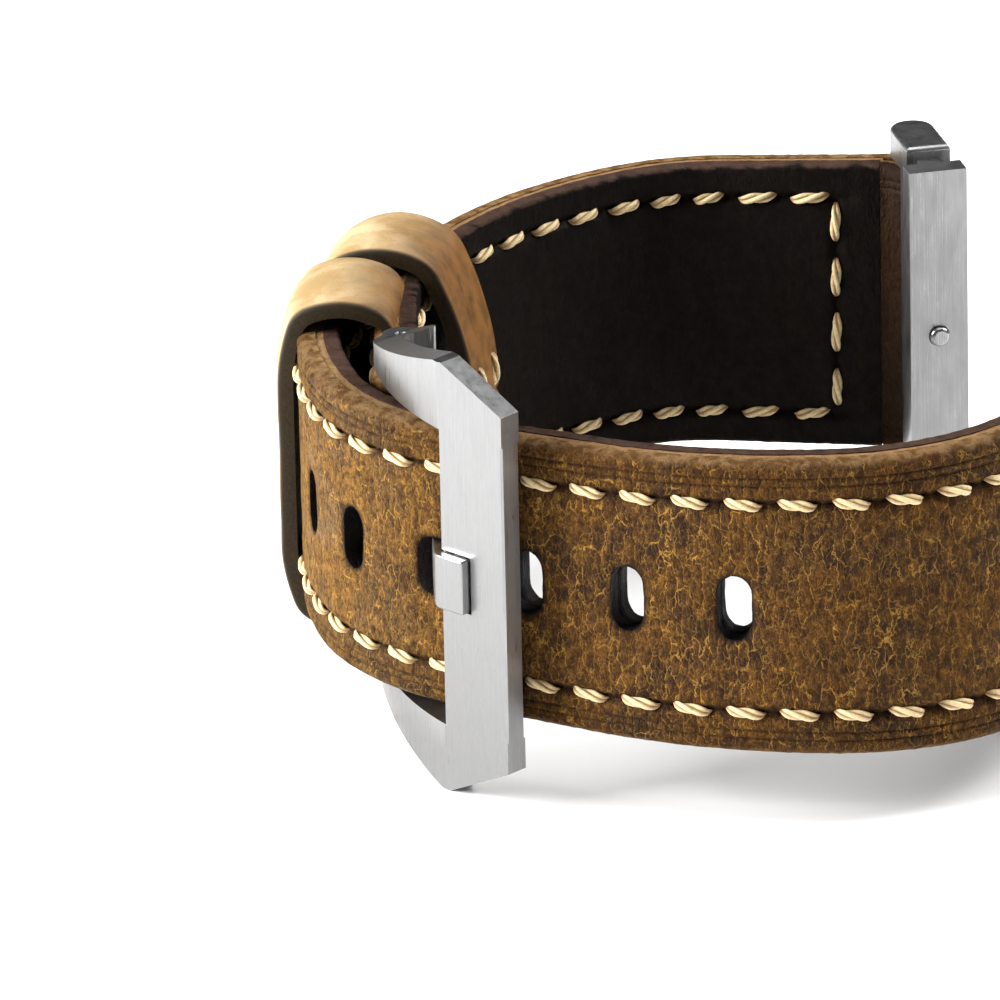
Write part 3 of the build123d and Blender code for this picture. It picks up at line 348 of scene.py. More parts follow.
class Shape:
    """A mesh in the making, drawn flat in mm and then placed round the loop."""

    clearing: float = 0.75
    weld: float = 1e-4
    uneven: float = 0.07
    skin: float = 0.01
    wall_reach: float = 0.15
    crease_angle: float = math.radians(55)

    def __init__(self, name: str) -> None:
        """Start an empty shape.

        Args:
            name: the piece's name.
        """
        self.name = name
        self.mesh = bmesh.new()
        self.flat = self.mesh.verts.layers.float_vector.new("flat")
        self.marks = self.mesh.verts.layers.float_vector.new("marks")

    def sheet(self, along: Sequence[float], across: Sequence[float], thick: float,
              openings: Sequence[Opening] = (), depths: Point = (0.0, 0.0),
              slot: Point | None = None) -> None:
        """Draw a sheet of leather with its holes, face up at height 0.

        Args:
            along: positions of the rows of faces along the strap.
            across: positions of the rows of faces across it.
            thick: thickness.
            openings: holes through it.
            depths: depths of its face and its back under the strap's outer side.
            slot: where a slot to the sheet's end starts, and half of its width.
        """
        mesh = self.mesh
        columns, rows = len(along) - 1, len(across) - 1
        bmesh.ops.create_grid(mesh, x_segments=columns, y_segments=rows, size=1.0)
        for vert in mesh.verts:
            column = round((vert.co.x + 1) / 2 * columns)
            row = round((vert.co.y + 1) / 2 * rows)
            vert.co = (along[column], across[row], 0.0)
        for opening in openings:
            self.pierce(opening, depths[0])
        if slot:
            self.slit(*slot)
        grown = bmesh.ops.extrude_face_region(mesh, geom=mesh.faces[:], use_keep_orig=True)
        back = [item for item in grown["geom"] if isinstance(item, bmesh.types.BMVert)]
        bmesh.ops.translate(mesh, verts=back, vec=(0.0, 0.0, -thick))
        for vert in back:
            for opening in openings:
                if abs(opening.gap(vert.co.x, vert.co.y, depths[0])) < self.wall_reach:
                    vert.co.x += opening.lean * (depths[1] - depths[0])

    def slit(self, start: float, half: float) -> None:
        """Cut a slot along the middle of a flat grid, to its end.

        Args:
            start: where the slot starts.
            half: half of its width.
        """
        ends = ((start, 0, 0), (1, 0, 0))
        sides = [((0, level, 0), (0, 1, 0)) for level in (half, -half)]
        for place, normal in (ends, *sides):
            grid = self.mesh.verts[:] + self.mesh.edges[:] + self.mesh.faces[:]
            bmesh.ops.bisect_plane(self.mesh, geom=grid, dist=self.weld, plane_co=place, plane_no=normal)
        middles = {face: face.calc_center_median() for face in self.mesh.faces}
        gone = [face for face, middle in middles.items() if middle.x > start and abs(middle.y) < half]
        bmesh.ops.delete(self.mesh, geom=gone, context="FACES")

    def pierce(self, opening: Opening, depth: float) -> None:
        """Cut one hole into a flat grid and ring it with faces.

        Args:
            opening: the hole.
            depth: depth of this face under the strap's outer side.
        """
        mesh = self.mesh
        middle = opening.centre_at(depth)
        reach_x, reach_y = opening.half_length + self.clearing, opening.half_height + self.clearing
        middles = {face: face.calc_center_median() for face in mesh.faces}
        inside = {f for f, at in middles.items() if abs(at.x - middle) < reach_x and abs(at.y) < reach_y}
        border = {e for f in inside for e in f.edges if any(g not in inside for g in e.link_faces)}
        bmesh.ops.delete(mesh, geom=list(inside), context="FACES")
        grown = bmesh.ops.extrude_edge_only(mesh, edges=list(border))["geom"]
        ring = [item for item in grown if isinstance(item, bmesh.types.BMVert)]
        far_x = max(abs(vert.co.x - middle) for vert in ring)
        far_y = max(abs(vert.co.y) for vert in ring)
        for vert in ring:
            vert.co = (*opening.edge_point((vert.co.x - middle) / far_x, vert.co.y / far_y, depth), 0.0)
        fresh = {e for vert in ring for e in vert.link_edges}
        spokes = {e for e in fresh if not (e.verts[0] in ring and e.verts[1] in ring)}
        bmesh.ops.subdivide_edges(mesh, edges=list(spokes), cuts=2, use_grid_fill=True)

    def shape_face(self, height: Height, back: Callable[[float, float], Vector], edge: float = FAR) -> None:
        """Press the face's pattern into it and note each place's marks.

        Args:
            height: gives the height and the marks at a place on the face.
            back: gives the marks at a place on the back.
            edge: distance from the middle past which the cut edge is a little uneven.
        """
        for vert in self.mesh.verts:
            x, y, z = vert.co
            if z > -self.skin:
                vert.co.z, vert[self.marks] = height(x, y)
            else:
                vert[self.marks] = back(x, y)
            if abs(y) > edge:
                vert.co.y += math.copysign(self.uneven * rough(x * 2.4, 2 * z, y), y)
            vert[self.flat] = vert.co

    def place(self, where: Where) -> None:
        """Move every point from the flat to its place, in mm."""
        for vert in self.mesh.verts:
            vert.co = where(*vert.co)

    def finish(self, body: str, slot: str, material: bpy.types.Material,
               nodes: Sequence[str]) -> bpy.types.Object:
        """Turn the shape into a piece of the model.

        Args:
            body: the body that it rides on.
            slot: the record's material slot; not used.
            material: its material.
            nodes: the solids that it stands for.

        Returns:
            The piece.
        """
        bmesh.ops.remove_doubles(self.mesh, verts=self.mesh.verts[:], dist=self.weld)
        bmesh.ops.recalc_face_normals(self.mesh, faces=self.mesh.faces[:])
        bmesh.ops.scale(self.mesh, vec=(MM, MM, MM), verts=self.mesh.verts[:])
        for face in self.mesh.faces:
            face.smooth = True
        data = baked(self.mesh, self.name)
        data.set_sharp_from_angle(angle=self.crease_angle)
        data.materials.append(material)
        piece = stand(self.name, data)
        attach(piece, body)
        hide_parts(*nodes)
        log.info("%s: %d faces on %s", self.name, len(data.polygons), body)
        return piece


@dataclass(frozen=True)
class Strap:
    """One half of the strap, from its leathers to its thread, in mm."""

    name: str
    route: Route
    rows: Rows
    openings: tuple[Opening, ...] = ()
    loops: tuple[bool, bool] = (False, True)
    slot_half: float = 0.0
    slot_length: float = 6.0
    tip_nose: float = 3.5
    tip_start: float = 0.2
    tip_length: float = 10.0
    tip_bulge: float = 8.0
    tip_round: float = 3.0
    tip_spread: float = 1.25
    tip_flat: float = 0.6
    swell_length: float = 4.0
    cell: float = 0.32
    wide_cell: float = 0.5
    filler_cell: float = 0.8
    filler_rows: int = 16
    rim: float = 0.8
    lining_rim: float = 0.35
    crease: float = 1.45
    crease_gap: float = 0.3
    crease_width: float = 0.11
    crease_depth: float = 0.14
    crease_dark: float = 0.55
    band_dark: float = 0.25
    waves: float = 0.05
    hole_dip: float = 0.16
    # where the painted shade on the leather turned round a bar starts and is full, past the strap's end
    turned: Point = (2.0, 5.0)
    joint: float = 0.05
    drawn_in: float = 0.07
    drawn_waves: float = 0.06

    @cached_property
    def loop_span(self) -> float:
        """Leather past a bar: half a turn round it and the return."""
        return math.pi * PLAN.loop_radius + PLAN.return_length

    def tip_share(self, along: float) -> float:
        """Say how much of the full width is left near a pointed tip.

        Args:
            along: distance along the strap.

        Returns:
            A share of the width.
        """
        if self.loops[0] or along > self.tip_length:
            return 1.0
        edge = PLAN.half_width(self.route.beside(self.tip_length)[0])
        run = max(0.0, along - self.tip_start)
        share = run / (self.tip_length - self.tip_start)
        side = self.tip_nose + (edge - self.tip_nose) * share + self.tip_bulge * share * (1 - share)
        rest = self.tip_round - min(run, self.tip_round)
        corner = self.tip_flat + self.tip_spread * math.sqrt(self.tip_round ** 2 - rest ** 2)
        return min(edge, side, corner if run < self.tip_round else edge) / edge

    def swell(self, along: float) -> float:
        """Say how far the outer side rises over a bar.

        Args:
            along: distance along the strap.

        Returns:
            The rise in mm.
        """
        gain = PLAN.loop_radius - PLAN.bar_sink
        ends = (along, self.route.length - along)
        nearest = min((end for end, looped in zip(ends, self.loops) if looped), default=FAR)
        return gain * (1 - smooth(nearest, 0.0, self.swell_length))

    def plan_point(self, along: float, depth: float) -> Point:
        """Place a point of the leather in plan, round the bars too.

        Args:
            along: distance along the outer side, past the ends round a bar.
            depth: depth under the outer side.

        Returns:
            The point in plan.
        """
        past = -along if along < 0 else along - self.route.length
        if past <= 0:
            return self.route.beside(along, depth - self.swell(along))
        sign = -1 if along < 0 else 1
        end = 0.0 if along < 0 else self.route.length
        _, _, angle = self.route.walk(end)
        hub = self.route.beside(end, PLAN.bar_sink)
        turn = min(past / PLAN.loop_radius, math.pi)
        beyond = past - turn * PLAN.loop_radius
        reach = PLAN.loop_radius - depth * PLAN.loop_wall / PLAN.top
        pull = PLAN.loop_radius + PLAN.bar_sink - PLAN.thickness - PLAN.return_gap
        reach -= smooth(beyond, 0.0, PLAN.return_length) * pull
        facing = angle + sign * turn
        x = hub[0] + reach * math.sin(facing) - sign * beyond * math.cos(angle)
        y = hub[1] - reach * math.cos(facing) - sign * beyond * math.sin(angle)
        return x, y

    def locate(self, face: Face) -> Where:
        """Give the function that moves a flat point onto one face of the strap.

        Args:
            face: which face.

        Returns:
            A function from a flat place to the real one.
        """

        def where(x: float, y: float, z: float) -> Place:
            """Place one flat point."""
            px, py = self.plan_point(x, -z if face is Face.OUTER else PLAN.thickness + z)
            return px, py, MIDDLE_Z + y * PLAN.half_width(px) / HALF * self.tip_share(x)

        return where

    def across(self, fine: bool) -> list[float]:
        """List the mesh's rows across the strap, close together at the rim and the thread.

        Args:
            fine: whether the sheet has a finished face.

        Returns:
            Positions from one edge to the other.
        """
        if not fine:
            return spaced(-HALF, HALF, self.filler_rows)
        insets = [0.0, 0.04, 0.14, 0.3, 0.52, 0.8]
        for line, offsets in ((self.crease, (0.15, 0.3, 0.45)), (self.rows.inset, (0.24, 0.42, 0.62))):
            insets += [line, *(line + side * off for off in offsets for side in (-1, 1))]
        insets.sort()
        insets += spaced(insets[-1], HALF, round((HALF - insets[-1]) / self.wide_cell))[1:]
        return mirrored(insets, HALF)

    def relief(self, face: Face, rim: float) -> Height:
        """Give the function that shapes a finished face.

        Args:
            face: which face.
            rim: radius of its rounded edge.

        Returns:
            A function from a flat place to its height and marks.
        """
        outer = face is Face.OUTER
        depth = 0.0 if outer else PLAN.thickness

        def height(x: float, y: float) -> tuple[float, Vector]:
            """Shape one place.

            Args:
                x: distance along the strap.
                y: distance from mid-width.

            Returns:
                The height and the marks.
            """
            inset = HALF - abs(y)
            hole = min((opening.gap(x, y, depth) for opening in self.openings), default=FAR)
            fine = rough(x * 1.3, y * 1.3, depth + 7)
            pressed, dark = self.rows.press(x, y)
            crease = outer * bell(abs(inset - self.crease) - self.crease_gap, self.crease_width)
            z = self.waves * rough(x * 0.35, y * 0.35, depth) + self.waves / 2 * fine
            z += self.waves * rough(x * 1.1, math.copysign(3.0, y), depth) * (1 - smooth(inset, 0.0, 1.2))
            z -= pressed + self.crease_depth * crease + self.hole_dip * bell(max(hole, 0.0), 0.35)
            z -= rim_drop(inset, rim)
            raw = 1 - smooth(inset + 0.3 * fine, 0.04, 0.55 * rim)
            # painted shade: the leather turned round a bar is darkened through the dark mark
            past = smooth(max(-x, x - self.route.length), *self.turned)
            band = outer * (1 - smooth(inset, self.rows.inset - 0.9, self.rows.inset - 0.1))
            dark = max(dark, self.crease_dark * crease, past, self.band_dark * band)
            # the third mark paints shade: a thin ring round each hole is darkened
            return z, Vector((raw, dark, bell(max(hole, 0.0), 0.2)))

        return height

    def back_marks(self, x: float, y: float) -> Vector:
        """Mark the cut edge and the hole walls below a face.

        Args:
            x: distance along the strap.
            y: distance from mid-width.

        Returns:
            The marks.
        """
        hole = min((opening.gap(x, y, PLAN.top) for opening in self.openings), default=FAR)
        raw = 1.0 if HALF - abs(y) < 0.2 else 0.0
        # painted shade: the hole walls and the back near each hole are marked near-black
        return Vector((raw, 0.0, 1.0 if hole < 1.2 else 0.0))

    @property
    def slot(self) -> Point | None:
        """The slot for the tongue at the buckle bar: where it starts, and half of its width."""
        return (self.route.length - self.slot_length, self.slot_half) if self.slot_half else None

    def layer(self, part: str, inset: float, depths: Point, cell: float) -> Shape:
        """Draw one layer's sheet, from bar to bar or from the tip to the bar.

        Args:
            part: what the layer is.
            inset: how far it ends before a bar.
            depths: depths of its face and its back under the outer side.
            cell: length of the mesh's faces along the strap.

        Returns:
            The flat sheet.
        """
        low, high = inset if self.loops[0] else self.tip_start, self.route.length - inset
        shape = Shape(f"{self.name}_{part}")
        shape.sheet(spaced(low, high, round((high - low) / cell)), self.across(cell == self.cell),
                    abs(depths[1] - depths[0]), self.openings, depths, self.slot)
        return shape

    def leather(self, finish: "LeatherFinish") -> None:
        """Make the grain leather with its loops.

        Args:
            finish: its look.
        """
        shape = self.layer("grain_leather", -self.loop_span, (0.0, PLAN.top), self.cell)
        shape.shape_face(self.relief(Face.OUTER, self.rim), self.back_marks, HALF - self.joint)
        shape.place(self.locate(Face.OUTER))
        shape.finish("strap", "grain_leather", finish.material(), [f"{self.name}_top_leather"])

    def lining(self, finish: "LeatherFinish") -> None:
        """Make the lining leather between the loops.

        Args:
            finish: its look.
        """
        depths = (PLAN.thickness, PLAN.top + PLAN.filler)
        shape = self.layer("lining_leather", PLAN.return_length + self.joint, depths, self.cell)
        shape.shape_face(self.relief(Face.INNER, self.lining_rim), self.back_marks, HALF - self.joint)
        shape.place(self.locate(Face.INNER))
        shape.finish("strap", "lining_leather", finish.material(), [f"{self.name}_lining"])

    def padding(self, finish: "LeatherFinish") -> None:
        """Make the thin filler whose cut edge shows between the leathers.

        Args:
            finish: its look.
        """
        depths = (PLAN.top, PLAN.top + PLAN.filler)
        shape = self.layer("edge_filler", PLAN.loop_radius + self.joint, depths, self.filler_cell)
        for vert in shape.mesh.verts:
            x, y, z = vert.co
            vert[shape.flat] = vert.co
            vert[shape.marks] = self.back_marks(x, y)
            if abs(y) > HALF - 2 * self.joint:
                vert.co.y -= math.copysign(self.drawn_in + self.drawn_waves * rough(x * 1.7, y, 3.0), y)
            vert.co.z = z - PLAN.top
        shape.place(self.locate(Face.OUTER))
        shape.finish("strap", "filler", finish.material(), [f"{self.name}_filler"])

    def stitching(self, thread: "Thread", finish: "ThreadFinish") -> None:
        """Lay every stitch of the strap.

        Args:
            thread: the stitch.
            finish: its look.
        """
        shape = Shape(f"{self.name}_thread")
        for face in Face:
            where = self.locate(face)
            spots = [(along, side * (HALF - self.rows.inset), thread.slant)
                     for along in self.rows.alongs for side in (1, -1)]
            spots += [(self.rows.cross, level, math.pi / 2) for level in self.rows.levels]
            for number, spot in enumerate(spots):
                thread.lay(shape, where, spot, number)
        shape.finish("strap", "thread", finish.material(), [f"{self.name}_stitching"])


@dataclass
class Thread:
    """A plump three-strand stitch, in mm."""

    length: float = 3.0
    strand: float = 0.2
    spread: float = 0.23
    twist: float = math.radians(170.0)
    dip: float = 0.5
    taper: float = 0.62
    sink: float = 0.02
    play: Place = (0.06, 0.07, 0.03)
    slant: float = math.radians(-9.0)
    steps: int = 12
    sides: int = 8
    model: bpy.types.Mesh | None = field(default=None, repr=False)

    def stitch(self) -> bpy.types.Mesh:
        """Twist three strands into one stitch along X, once.

        Returns:
            The stitch's mesh.
        """
        if self.model:
            return self.model
        mesh = bmesh.new()
        for strand in range(3):
            turn = Matrix.Rotation(FULL_TURN * strand / 3, 4, "X")
            start = Matrix.Translation((-self.length / 2, self.spread, 0))
            upright = turn @ start @ Matrix.Rotation(math.pi / 2, 4, "Y")
            ring = bmesh.ops.create_circle(mesh, segments=self.sides, radius=self.strand, matrix=upright)
            edges = list({e for vert in ring["verts"] for e in vert.link_edges})
            bmesh.ops.spin(mesh, geom=ring["verts"] + edges, cent=(0, 0, 0), axis=(1, 0, 0),
                           dvec=(self.length / self.steps, 0, 0), angle=self.twist, steps=self.steps)
        ends = [e for e in mesh.edges if e.is_boundary]
        bmesh.ops.holes_fill(mesh, edges=ends, sides=self.sides)
        for vert in mesh.verts:
            share = min(1.0, abs(vert.co.x) / (self.length / 2))
            thin = 1 - self.taper * share ** 3
            vert.co.y *= thin
            vert.co.z = vert.co.z * thin - self.dip * share ** 5
        self.model = baked(mesh, "one_stitch")
        return self.model

    def lay(self, shape: Shape, where: Where, spot: Place, number: int) -> None:
        """Add one stitch to a shape.

        Args:
            shape: what holds the thread.
            where: places a flat point.
            spot: distance along, distance from mid-width, and the stitch's turn in radians.
            number: which stitch it is, for its small differences.
        """
        x, y, turn = spot
        before = len(shape.mesh.verts)
        shape.mesh.from_mesh(self.stitch())
        shape.mesh.verts.ensure_lookup_table()
        jitter = rough(x * 3.1, y * 1.7, number * 0.61)
        longer, turned, higher = (jitter * play for play in self.play)
        spin = Matrix.Rotation(turn + turned, 4, "Z")
        for vert in shape.mesh.verts[before:]:
            vert[shape.flat] = vert.co + Vector((number * 5.0, 0, 0))
            middle = -self.dip * min(1.0, 2 * abs(vert.co.x) / self.length) ** 5
            reach = math.hypot(vert.co.y, vert.co.z - middle)
            # the first mark paints shade in the crevices between the strands, near the stitch's core
            vert[shape.marks] = (1 - smooth(reach, 0.2, 0.36), 0.0, 0.0)
            local = spin @ Vector((vert.co.x * (1 + longer), vert.co.y, vert.co.z))
            vert.co = where(x + local.x, y + local.y, local.z - self.sink + higher)


@dataclass(frozen=True)
class Keeper:
    """A leather band round the strap, drawn as a sheet round its own section, in mm."""

    name: str
    body: str
    section: Route
    closed: bool
    wrist_end: float
    length: float = 10.2
    thick: float = 1.2
    flange: float = 0.45
    crown: float = 0.42
    edge: float = 0.4
    cell: float = 0.35
    seam_depth: float = 0.3
    waves: float = 0.05

    def wall(self, along: float) -> float:
        """How thick the band is, as a share, where its ends are tucked in."""
        inwards = min(along, self.section.length - along)
        return 1.0 if self.closed else self.flange + (1 - self.flange) * smooth(inwards, 2.0, 5.5)

    def relief(self, x: float, y: float) -> tuple[float, Vector]:
        """Crown the band across its length, round its rims and mark it.

        Args:
            x: distance round the section.
            y: distance from the middle of the band's length.

        Returns:
            The height and the marks.
        """
        half, inwards = self.length / 2, min(x, self.section.length - x)
        inset = half - abs(y)
        angle, ring = FULL_TURN * x / self.section.length, 0.3 * self.section.length / FULL_TURN
        z = self.crown * (1 - (y / half) ** 2) * (1.0 if self.closed else smooth(inwards, 2.0, 5.0))
        z += self.waves * rough(ring * math.cos(angle), ring * math.sin(angle), y * 0.3)
        z -= rim_drop(inset, self.edge) + self.closed * self.seam_depth * bell(inwards, 0.25)
        wrist = 1 - smooth(inwards, self.wrist_end - 4.0, self.wrist_end + 4.0)
        # the third mark paints shade along the band's rounded rims
        return z, Vector((float(inset < 0.01), wrist, 1 - smooth(inset, 0.1, self.edge * 1.3)))

    def cut(self, x: float, y: float) -> Vector:
        """Mark the raw inside of the band."""
        return Vector((1.0, 0.0, 0.0))

    def build(self, where: Callable[[float, float], Point], finish: "KeeperFinish",
              nodes: Sequence[str]) -> None:
        """Make the band.

        Args:
            where: gives a plan point for a reach from the axis and a distance along the band's length.
            finish: its leather.
            nodes: the solids that it stands for.
        """
        shape, length, half = Shape(self.name), self.section.length, self.length / 2
        across = mirrored([0.0, 0.03, 0.1, 0.2, 0.32, 0.5, *spaced(0.8, half, 12)], half)
        shape.sheet(spaced(0.0, length, round(length / self.cell)), across, self.thick)
        if self.closed:
            near, far = shape.weld, length - shape.weld
            ends = [f for f in shape.mesh.faces
                    if all(v.co.x < near for v in f.verts) or all(v.co.x > far for v in f.verts)]
            bmesh.ops.delete(shape.mesh, geom=ends, context="FACES")
        shape.shape_face(self.relief, self.cut)

        def placed(x: float, y: float, z: float) -> Place:
            """Place one flat point of the band."""
            reach, level = self.section.beside(x % length if self.closed else x, -z * self.wall(x))
            return *where(reach, y), MIDDLE_Z + level

        shape.place(placed)
        shape.finish(self.body, "keeper_leather", finish.material(), nodes)


@dataclass(frozen=True)
class Keepers:
    """The fixed and the free keeper, in mm, with their domed sections as arcs in degrees and radii."""

    start: float = 8.3
    lean: float = 5.0
    wall: float = 5.78
    side: float = 6.44
    outer_arcs: tuple[Point, ...] = ((20.0, 14.0), (45.0, 2.6))
    fixed_arcs: tuple[Point, ...] = ((50.0, 6.26), (65.0, 2.56))
    lip: float = 2.4
    free_arcs: tuple[Point, ...] = ((50.0, 7.25), (38.0, 3.0), (27.0, 24.98))
    outside: float = 36.65
    polar: Point = (155.3, 171.3)
    stitch_sink: float = 0.3

    @staticmethod
    def bends(arcs: Sequence[Point]) -> tuple[Point, ...]:
        """Turn arcs in degrees into runs by length."""
        return tuple((math.radians(angle) * radius, radius) for angle, radius in arcs)

    @cached_property
    def span(self) -> float:
        """Angle that the free keeper takes up round the strap's centre."""
        return math.radians(self.polar[1] - self.polar[0])

    def round_centre(self, reach: float, turn: float) -> Point:
        """Give a plan point at a reach from the strap's centre, turned past the free keeper's middle."""
        polar = math.radians(sum(self.polar) / 2) + turn
        return PLAN.centre[0] + reach * math.cos(polar), PLAN.centre[1] + reach * math.sin(polar)

    def fixed(self, finish: "KeeperFinish") -> None:
        """Make the keeper that is sewn into the short strap.

        Args:
            finish: its leather.
        """
        rise = self.bends(self.outer_arcs + self.fixed_arcs)
        runs = ((self.lip, 0), *reversed(rise), (2 * self.side, 0), *rise, (self.lip, 0))
        loose = Route((0.0, 0.0), -90.0, runs)
        _, gain, _ = loose.walk(loose.length)
        outside, _, _ = loose.walk(loose.length / 2)
        section = Route((self.wall + Keeper.thick - outside, -gain / 2), -90.0, runs)
        x, y, angle = PLAN.short.walk(PLAN.short.length - self.start - Keeper.length / 2)
        angle -= math.radians(self.lean)

        def where(reach: float, ahead: float) -> Point:
            """Place a point beside the keeper's axis."""
            return (x + reach * math.sin(angle) + ahead * math.cos(angle),
                    y - reach * math.cos(angle) + ahead * math.sin(angle))

        band = Keeper("fixed_keeper_band", "strap", section, closed=False, wrist_end=6.5)
        band.build(where, finish, ["fixed_keeper"])

    def free_section(self) -> Route:
        """Draw the free keeper's section, from the middle of its wrist side.

        Returns:
            The closed section.
        """
        quarter = self.bends(self.outer_arcs + self.free_arcs)
        lower = Route((0.0, 0.0), -90.0, tuple(reversed(quarter)))
        _, drop, _ = lower.walk(lower.length)
        runs = (*lower.runs, (-2 * drop, 0), *quarter)
        loose = Route((0.0, 0.0), -90.0, runs)
        reach, _, _ = loose.walk(loose.length / 2)
        return Route((self.outside - reach, 0.0), -90.0, runs)

    def free(self, finish: "KeeperFinish") -> None:
        """Make the keeper that slides along the strap.

        Args:
            finish: its leather.
        """

        def where(reach: float, ahead: float) -> Point:
            """Place a point round the keeper's arc."""
            return self.round_centre(reach, ahead * self.span / Keeper.length)

        band = Keeper("free_keeper_band", "free_keeper", self.free_section(), closed=True, wrist_end=15.5)
        band.build(where, finish, ["free_keeper"])

    def thread(self, thread: Thread, finish: "ThreadFinish") -> None:
        """Sew the free keeper's ends on its wrist side.

        Args:
            thread: the stitch.
            finish: its look.
        """
        low, _, _ = self.free_section().walk(0.0)
        shape = Shape("free_keeper_thread")

        def where(x: float, y: float, z: float) -> Place:
            """Place a flat point on the wrist side."""
            return *self.round_centre(low - self.stitch_sink - z, x / low), MIDDLE_Z + y

        spots = [(side * 0.25 * self.span * low, level) for side in (-1, 1) for level in (-2.0, 2.0)]
        for number, (x, y) in enumerate(spots):
            thread.lay(shape, where, (x, y, math.pi / 2), number)
        shape.finish("free_keeper", "thread", finish.material(), ["free_keeper_stitching"])


def round_edges(piece: bpy.types.Object, width: float, segments: int, angle: float) -> None:
    """Round a piece's sharp edges.

    Args:
        piece: the piece.
        width: width of the rounding, in mm.
        segments: faces round it.
        angle: angle in degrees from which an edge is sharp.
    """
    bevel = piece.modifiers.new("rounded_edge", "BEVEL")
    bevel.width = width * MM
    bevel.segments = segments
    bevel.limit_method = "ANGLE"
    bevel.angle_limit = math.radians(angle)


@dataclass(frozen=True)
class Tongue:
    """The buckle's tongue: a steel strip from its tip through the strap and round the bar, in mm."""

    tip: Point = (-17.273, -27.923)
    heading: float = 136.4
    foot: float = 2.157
    bend: Point = (44.4, 1.5)
    neck: float = 3.0
    sweep: Point = (19.45, 8.0)
    leg: float = 8.554
    curl: Point = (300.0, 1.7)
    width: float = 4.25
    thick: float = 1.2
    leg_share: float = 0.75
    eye_share: float = 0.62
    cell: float = 0.2

    def wall(self, along: float) -> float:
        """Say how much of the thickness is left along the strip.

        Args:
            along: distance from its tip.

        Returns:
            A share of the thickness.
        """
        eye = self.foot + math.radians(self.bend[0]) * self.bend[1] + self.neck + self.leg
        share = 1 + (self.leg_share - 1) * smooth(along, self.foot - 0.6, self.foot + 1.4)
        return share + (self.eye_share - self.leg_share) * smooth(along, eye, eye + 3.0)

    def build(self, finish: "SteelFinish") -> None:
        """Make the strip.

        Args:
            finish: its look.
        """
        angles = [math.radians(turn) * radius for turn, radius in (self.bend, self.sweep, self.curl)]
        runs = ((self.foot, 0), (angles[0], -self.bend[1]), (self.neck, 0), (angles[1], self.sweep[1]),
                (self.leg, 0), (angles[2], -self.curl[1]))
        route = Route(self.tip, self.heading, runs)
        shape = Shape("tongue_strip")
        along = spaced(0.0, route.length, round(route.length / self.cell))
        shape.sheet(along, spaced(-self.width / 2, self.width / 2, 8), self.thick)

        def placed(x: float, y: float, z: float) -> Place:
            """Place one flat point of the strip."""
            return *route.beside(x, z * self.wall(x)), MIDDLE_Z + y

        shape.place(placed)
        piece = shape.finish("tongue", "brushed_steel", finish.material(), ["buckle_tongue"])
        round_edges(piece, width=0.14, segments=3, angle=60)


class Wiring:
    """Adds and joins the nodes of one material or group."""

    def __init__(self, tree: bpy.types.NodeTree) -> None:
        """Take an empty tree."""
        self.tree = tree

    def fill(self, sockets: Sockets, values: dict) -> None:
        """Set or link sockets.

        Args:
            sockets: a node's inputs.
            values: values or sockets for them, by name or number.
        """
        for key, value in values.items():
            if isinstance(value, bpy.types.NodeSocket):
                self.tree.links.new(value, sockets[key])
            else:
                sockets[key].default_value = value

    def add(self, kind: str, inputs: dict | None = None, **settings: object) -> bpy.types.Node:
        """Add a node.

        Args:
            kind: the node's type name, without its prefix.
            inputs: values or sockets for its inputs, by name or number.
            settings: its own settings.

        Returns:
            The node.
        """
        node = self.tree.nodes.new("ShaderNode" + kind)
        for key, value in settings.items():
            setattr(node, key, value)
        self.fill(node.inputs, inputs or {})
        return node

    def group(self, tree: bpy.types.NodeTree, *inputs: Input) -> Sockets:
        """Place a group, set its inputs in their order and give its outputs."""
        return self.add("Group", dict(enumerate(inputs)), node_tree=tree).outputs

    def times(self, first: Input, second: Input) -> Socket:
        """Multiply two values."""
        return self.add("Math", {0: first, 1: second}, operation="MULTIPLY").outputs[0]

    def plus(self, first: Input, second: Input) -> Socket:
        """Add two values."""
        return self.add("Math", {0: first, 1: second}, operation="ADD").outputs[0]

    def arrow(self, operation: str, first: Input, second: Input) -> Socket:
        """Do arithmetic on a vector with a second one, or with a number where it is scaled."""
        second_key = 3 if operation == "SCALE" else 1
        return self.add("VectorMath", {0: first, second_key: second}, operation=operation).outputs[0]

    def cloud(self, place: Input, detail: float, roughness: Input = 0.5, scale: float = 1.0,
              distortion: float = 0.0) -> Sockets:
        """Make smooth noise and give its value and its colour."""
        inputs = {"Vector": place, "Scale": scale, "Detail": detail, "Roughness": roughness}
        return self.add("TexNoise", {**inputs, "Distortion": distortion}).outputs

    def ramp(self, value: Input, low: Input, high: Input, start: float = 0.0, end: float = 1.0) -> Socket:
        """Ease from a start, at the low value, to an end, at the high one."""
        inputs = {"Value": value, 1: low, 2: high, 3: start, 4: end}
        return self.add("MapRange", inputs, interpolation_type="SMOOTHSTEP").outputs[0]

    def coats(self, base: Input, coats: Sequence[tuple[Input, Input]]) -> Socket:
        """Lay colours over a base.

        Args:
            base: the colour below.
            coats: each one's share and colour, from below to above.

        Returns:
            The mixed colour.
        """
        for share, colour in coats:
            below, above = ((*c, 1.0) if isinstance(c, tuple) else c for c in (base, colour))
            base = self.add("Mix", {0: share, 6: below, 7: above}, data_type="RGBA").outputs[2]
        return base

    def attribute(self, name: str) -> Socket:
        """Read a mesh's own vector."""
        return self.add("Attribute", attribute_name=name).outputs["Vector"]

    def parts(self, vector: Socket) -> Sequence[Socket]:
        """Split a vector into its three numbers."""
        return self.add("SeparateXYZ", {0: vector}).outputs[:3]


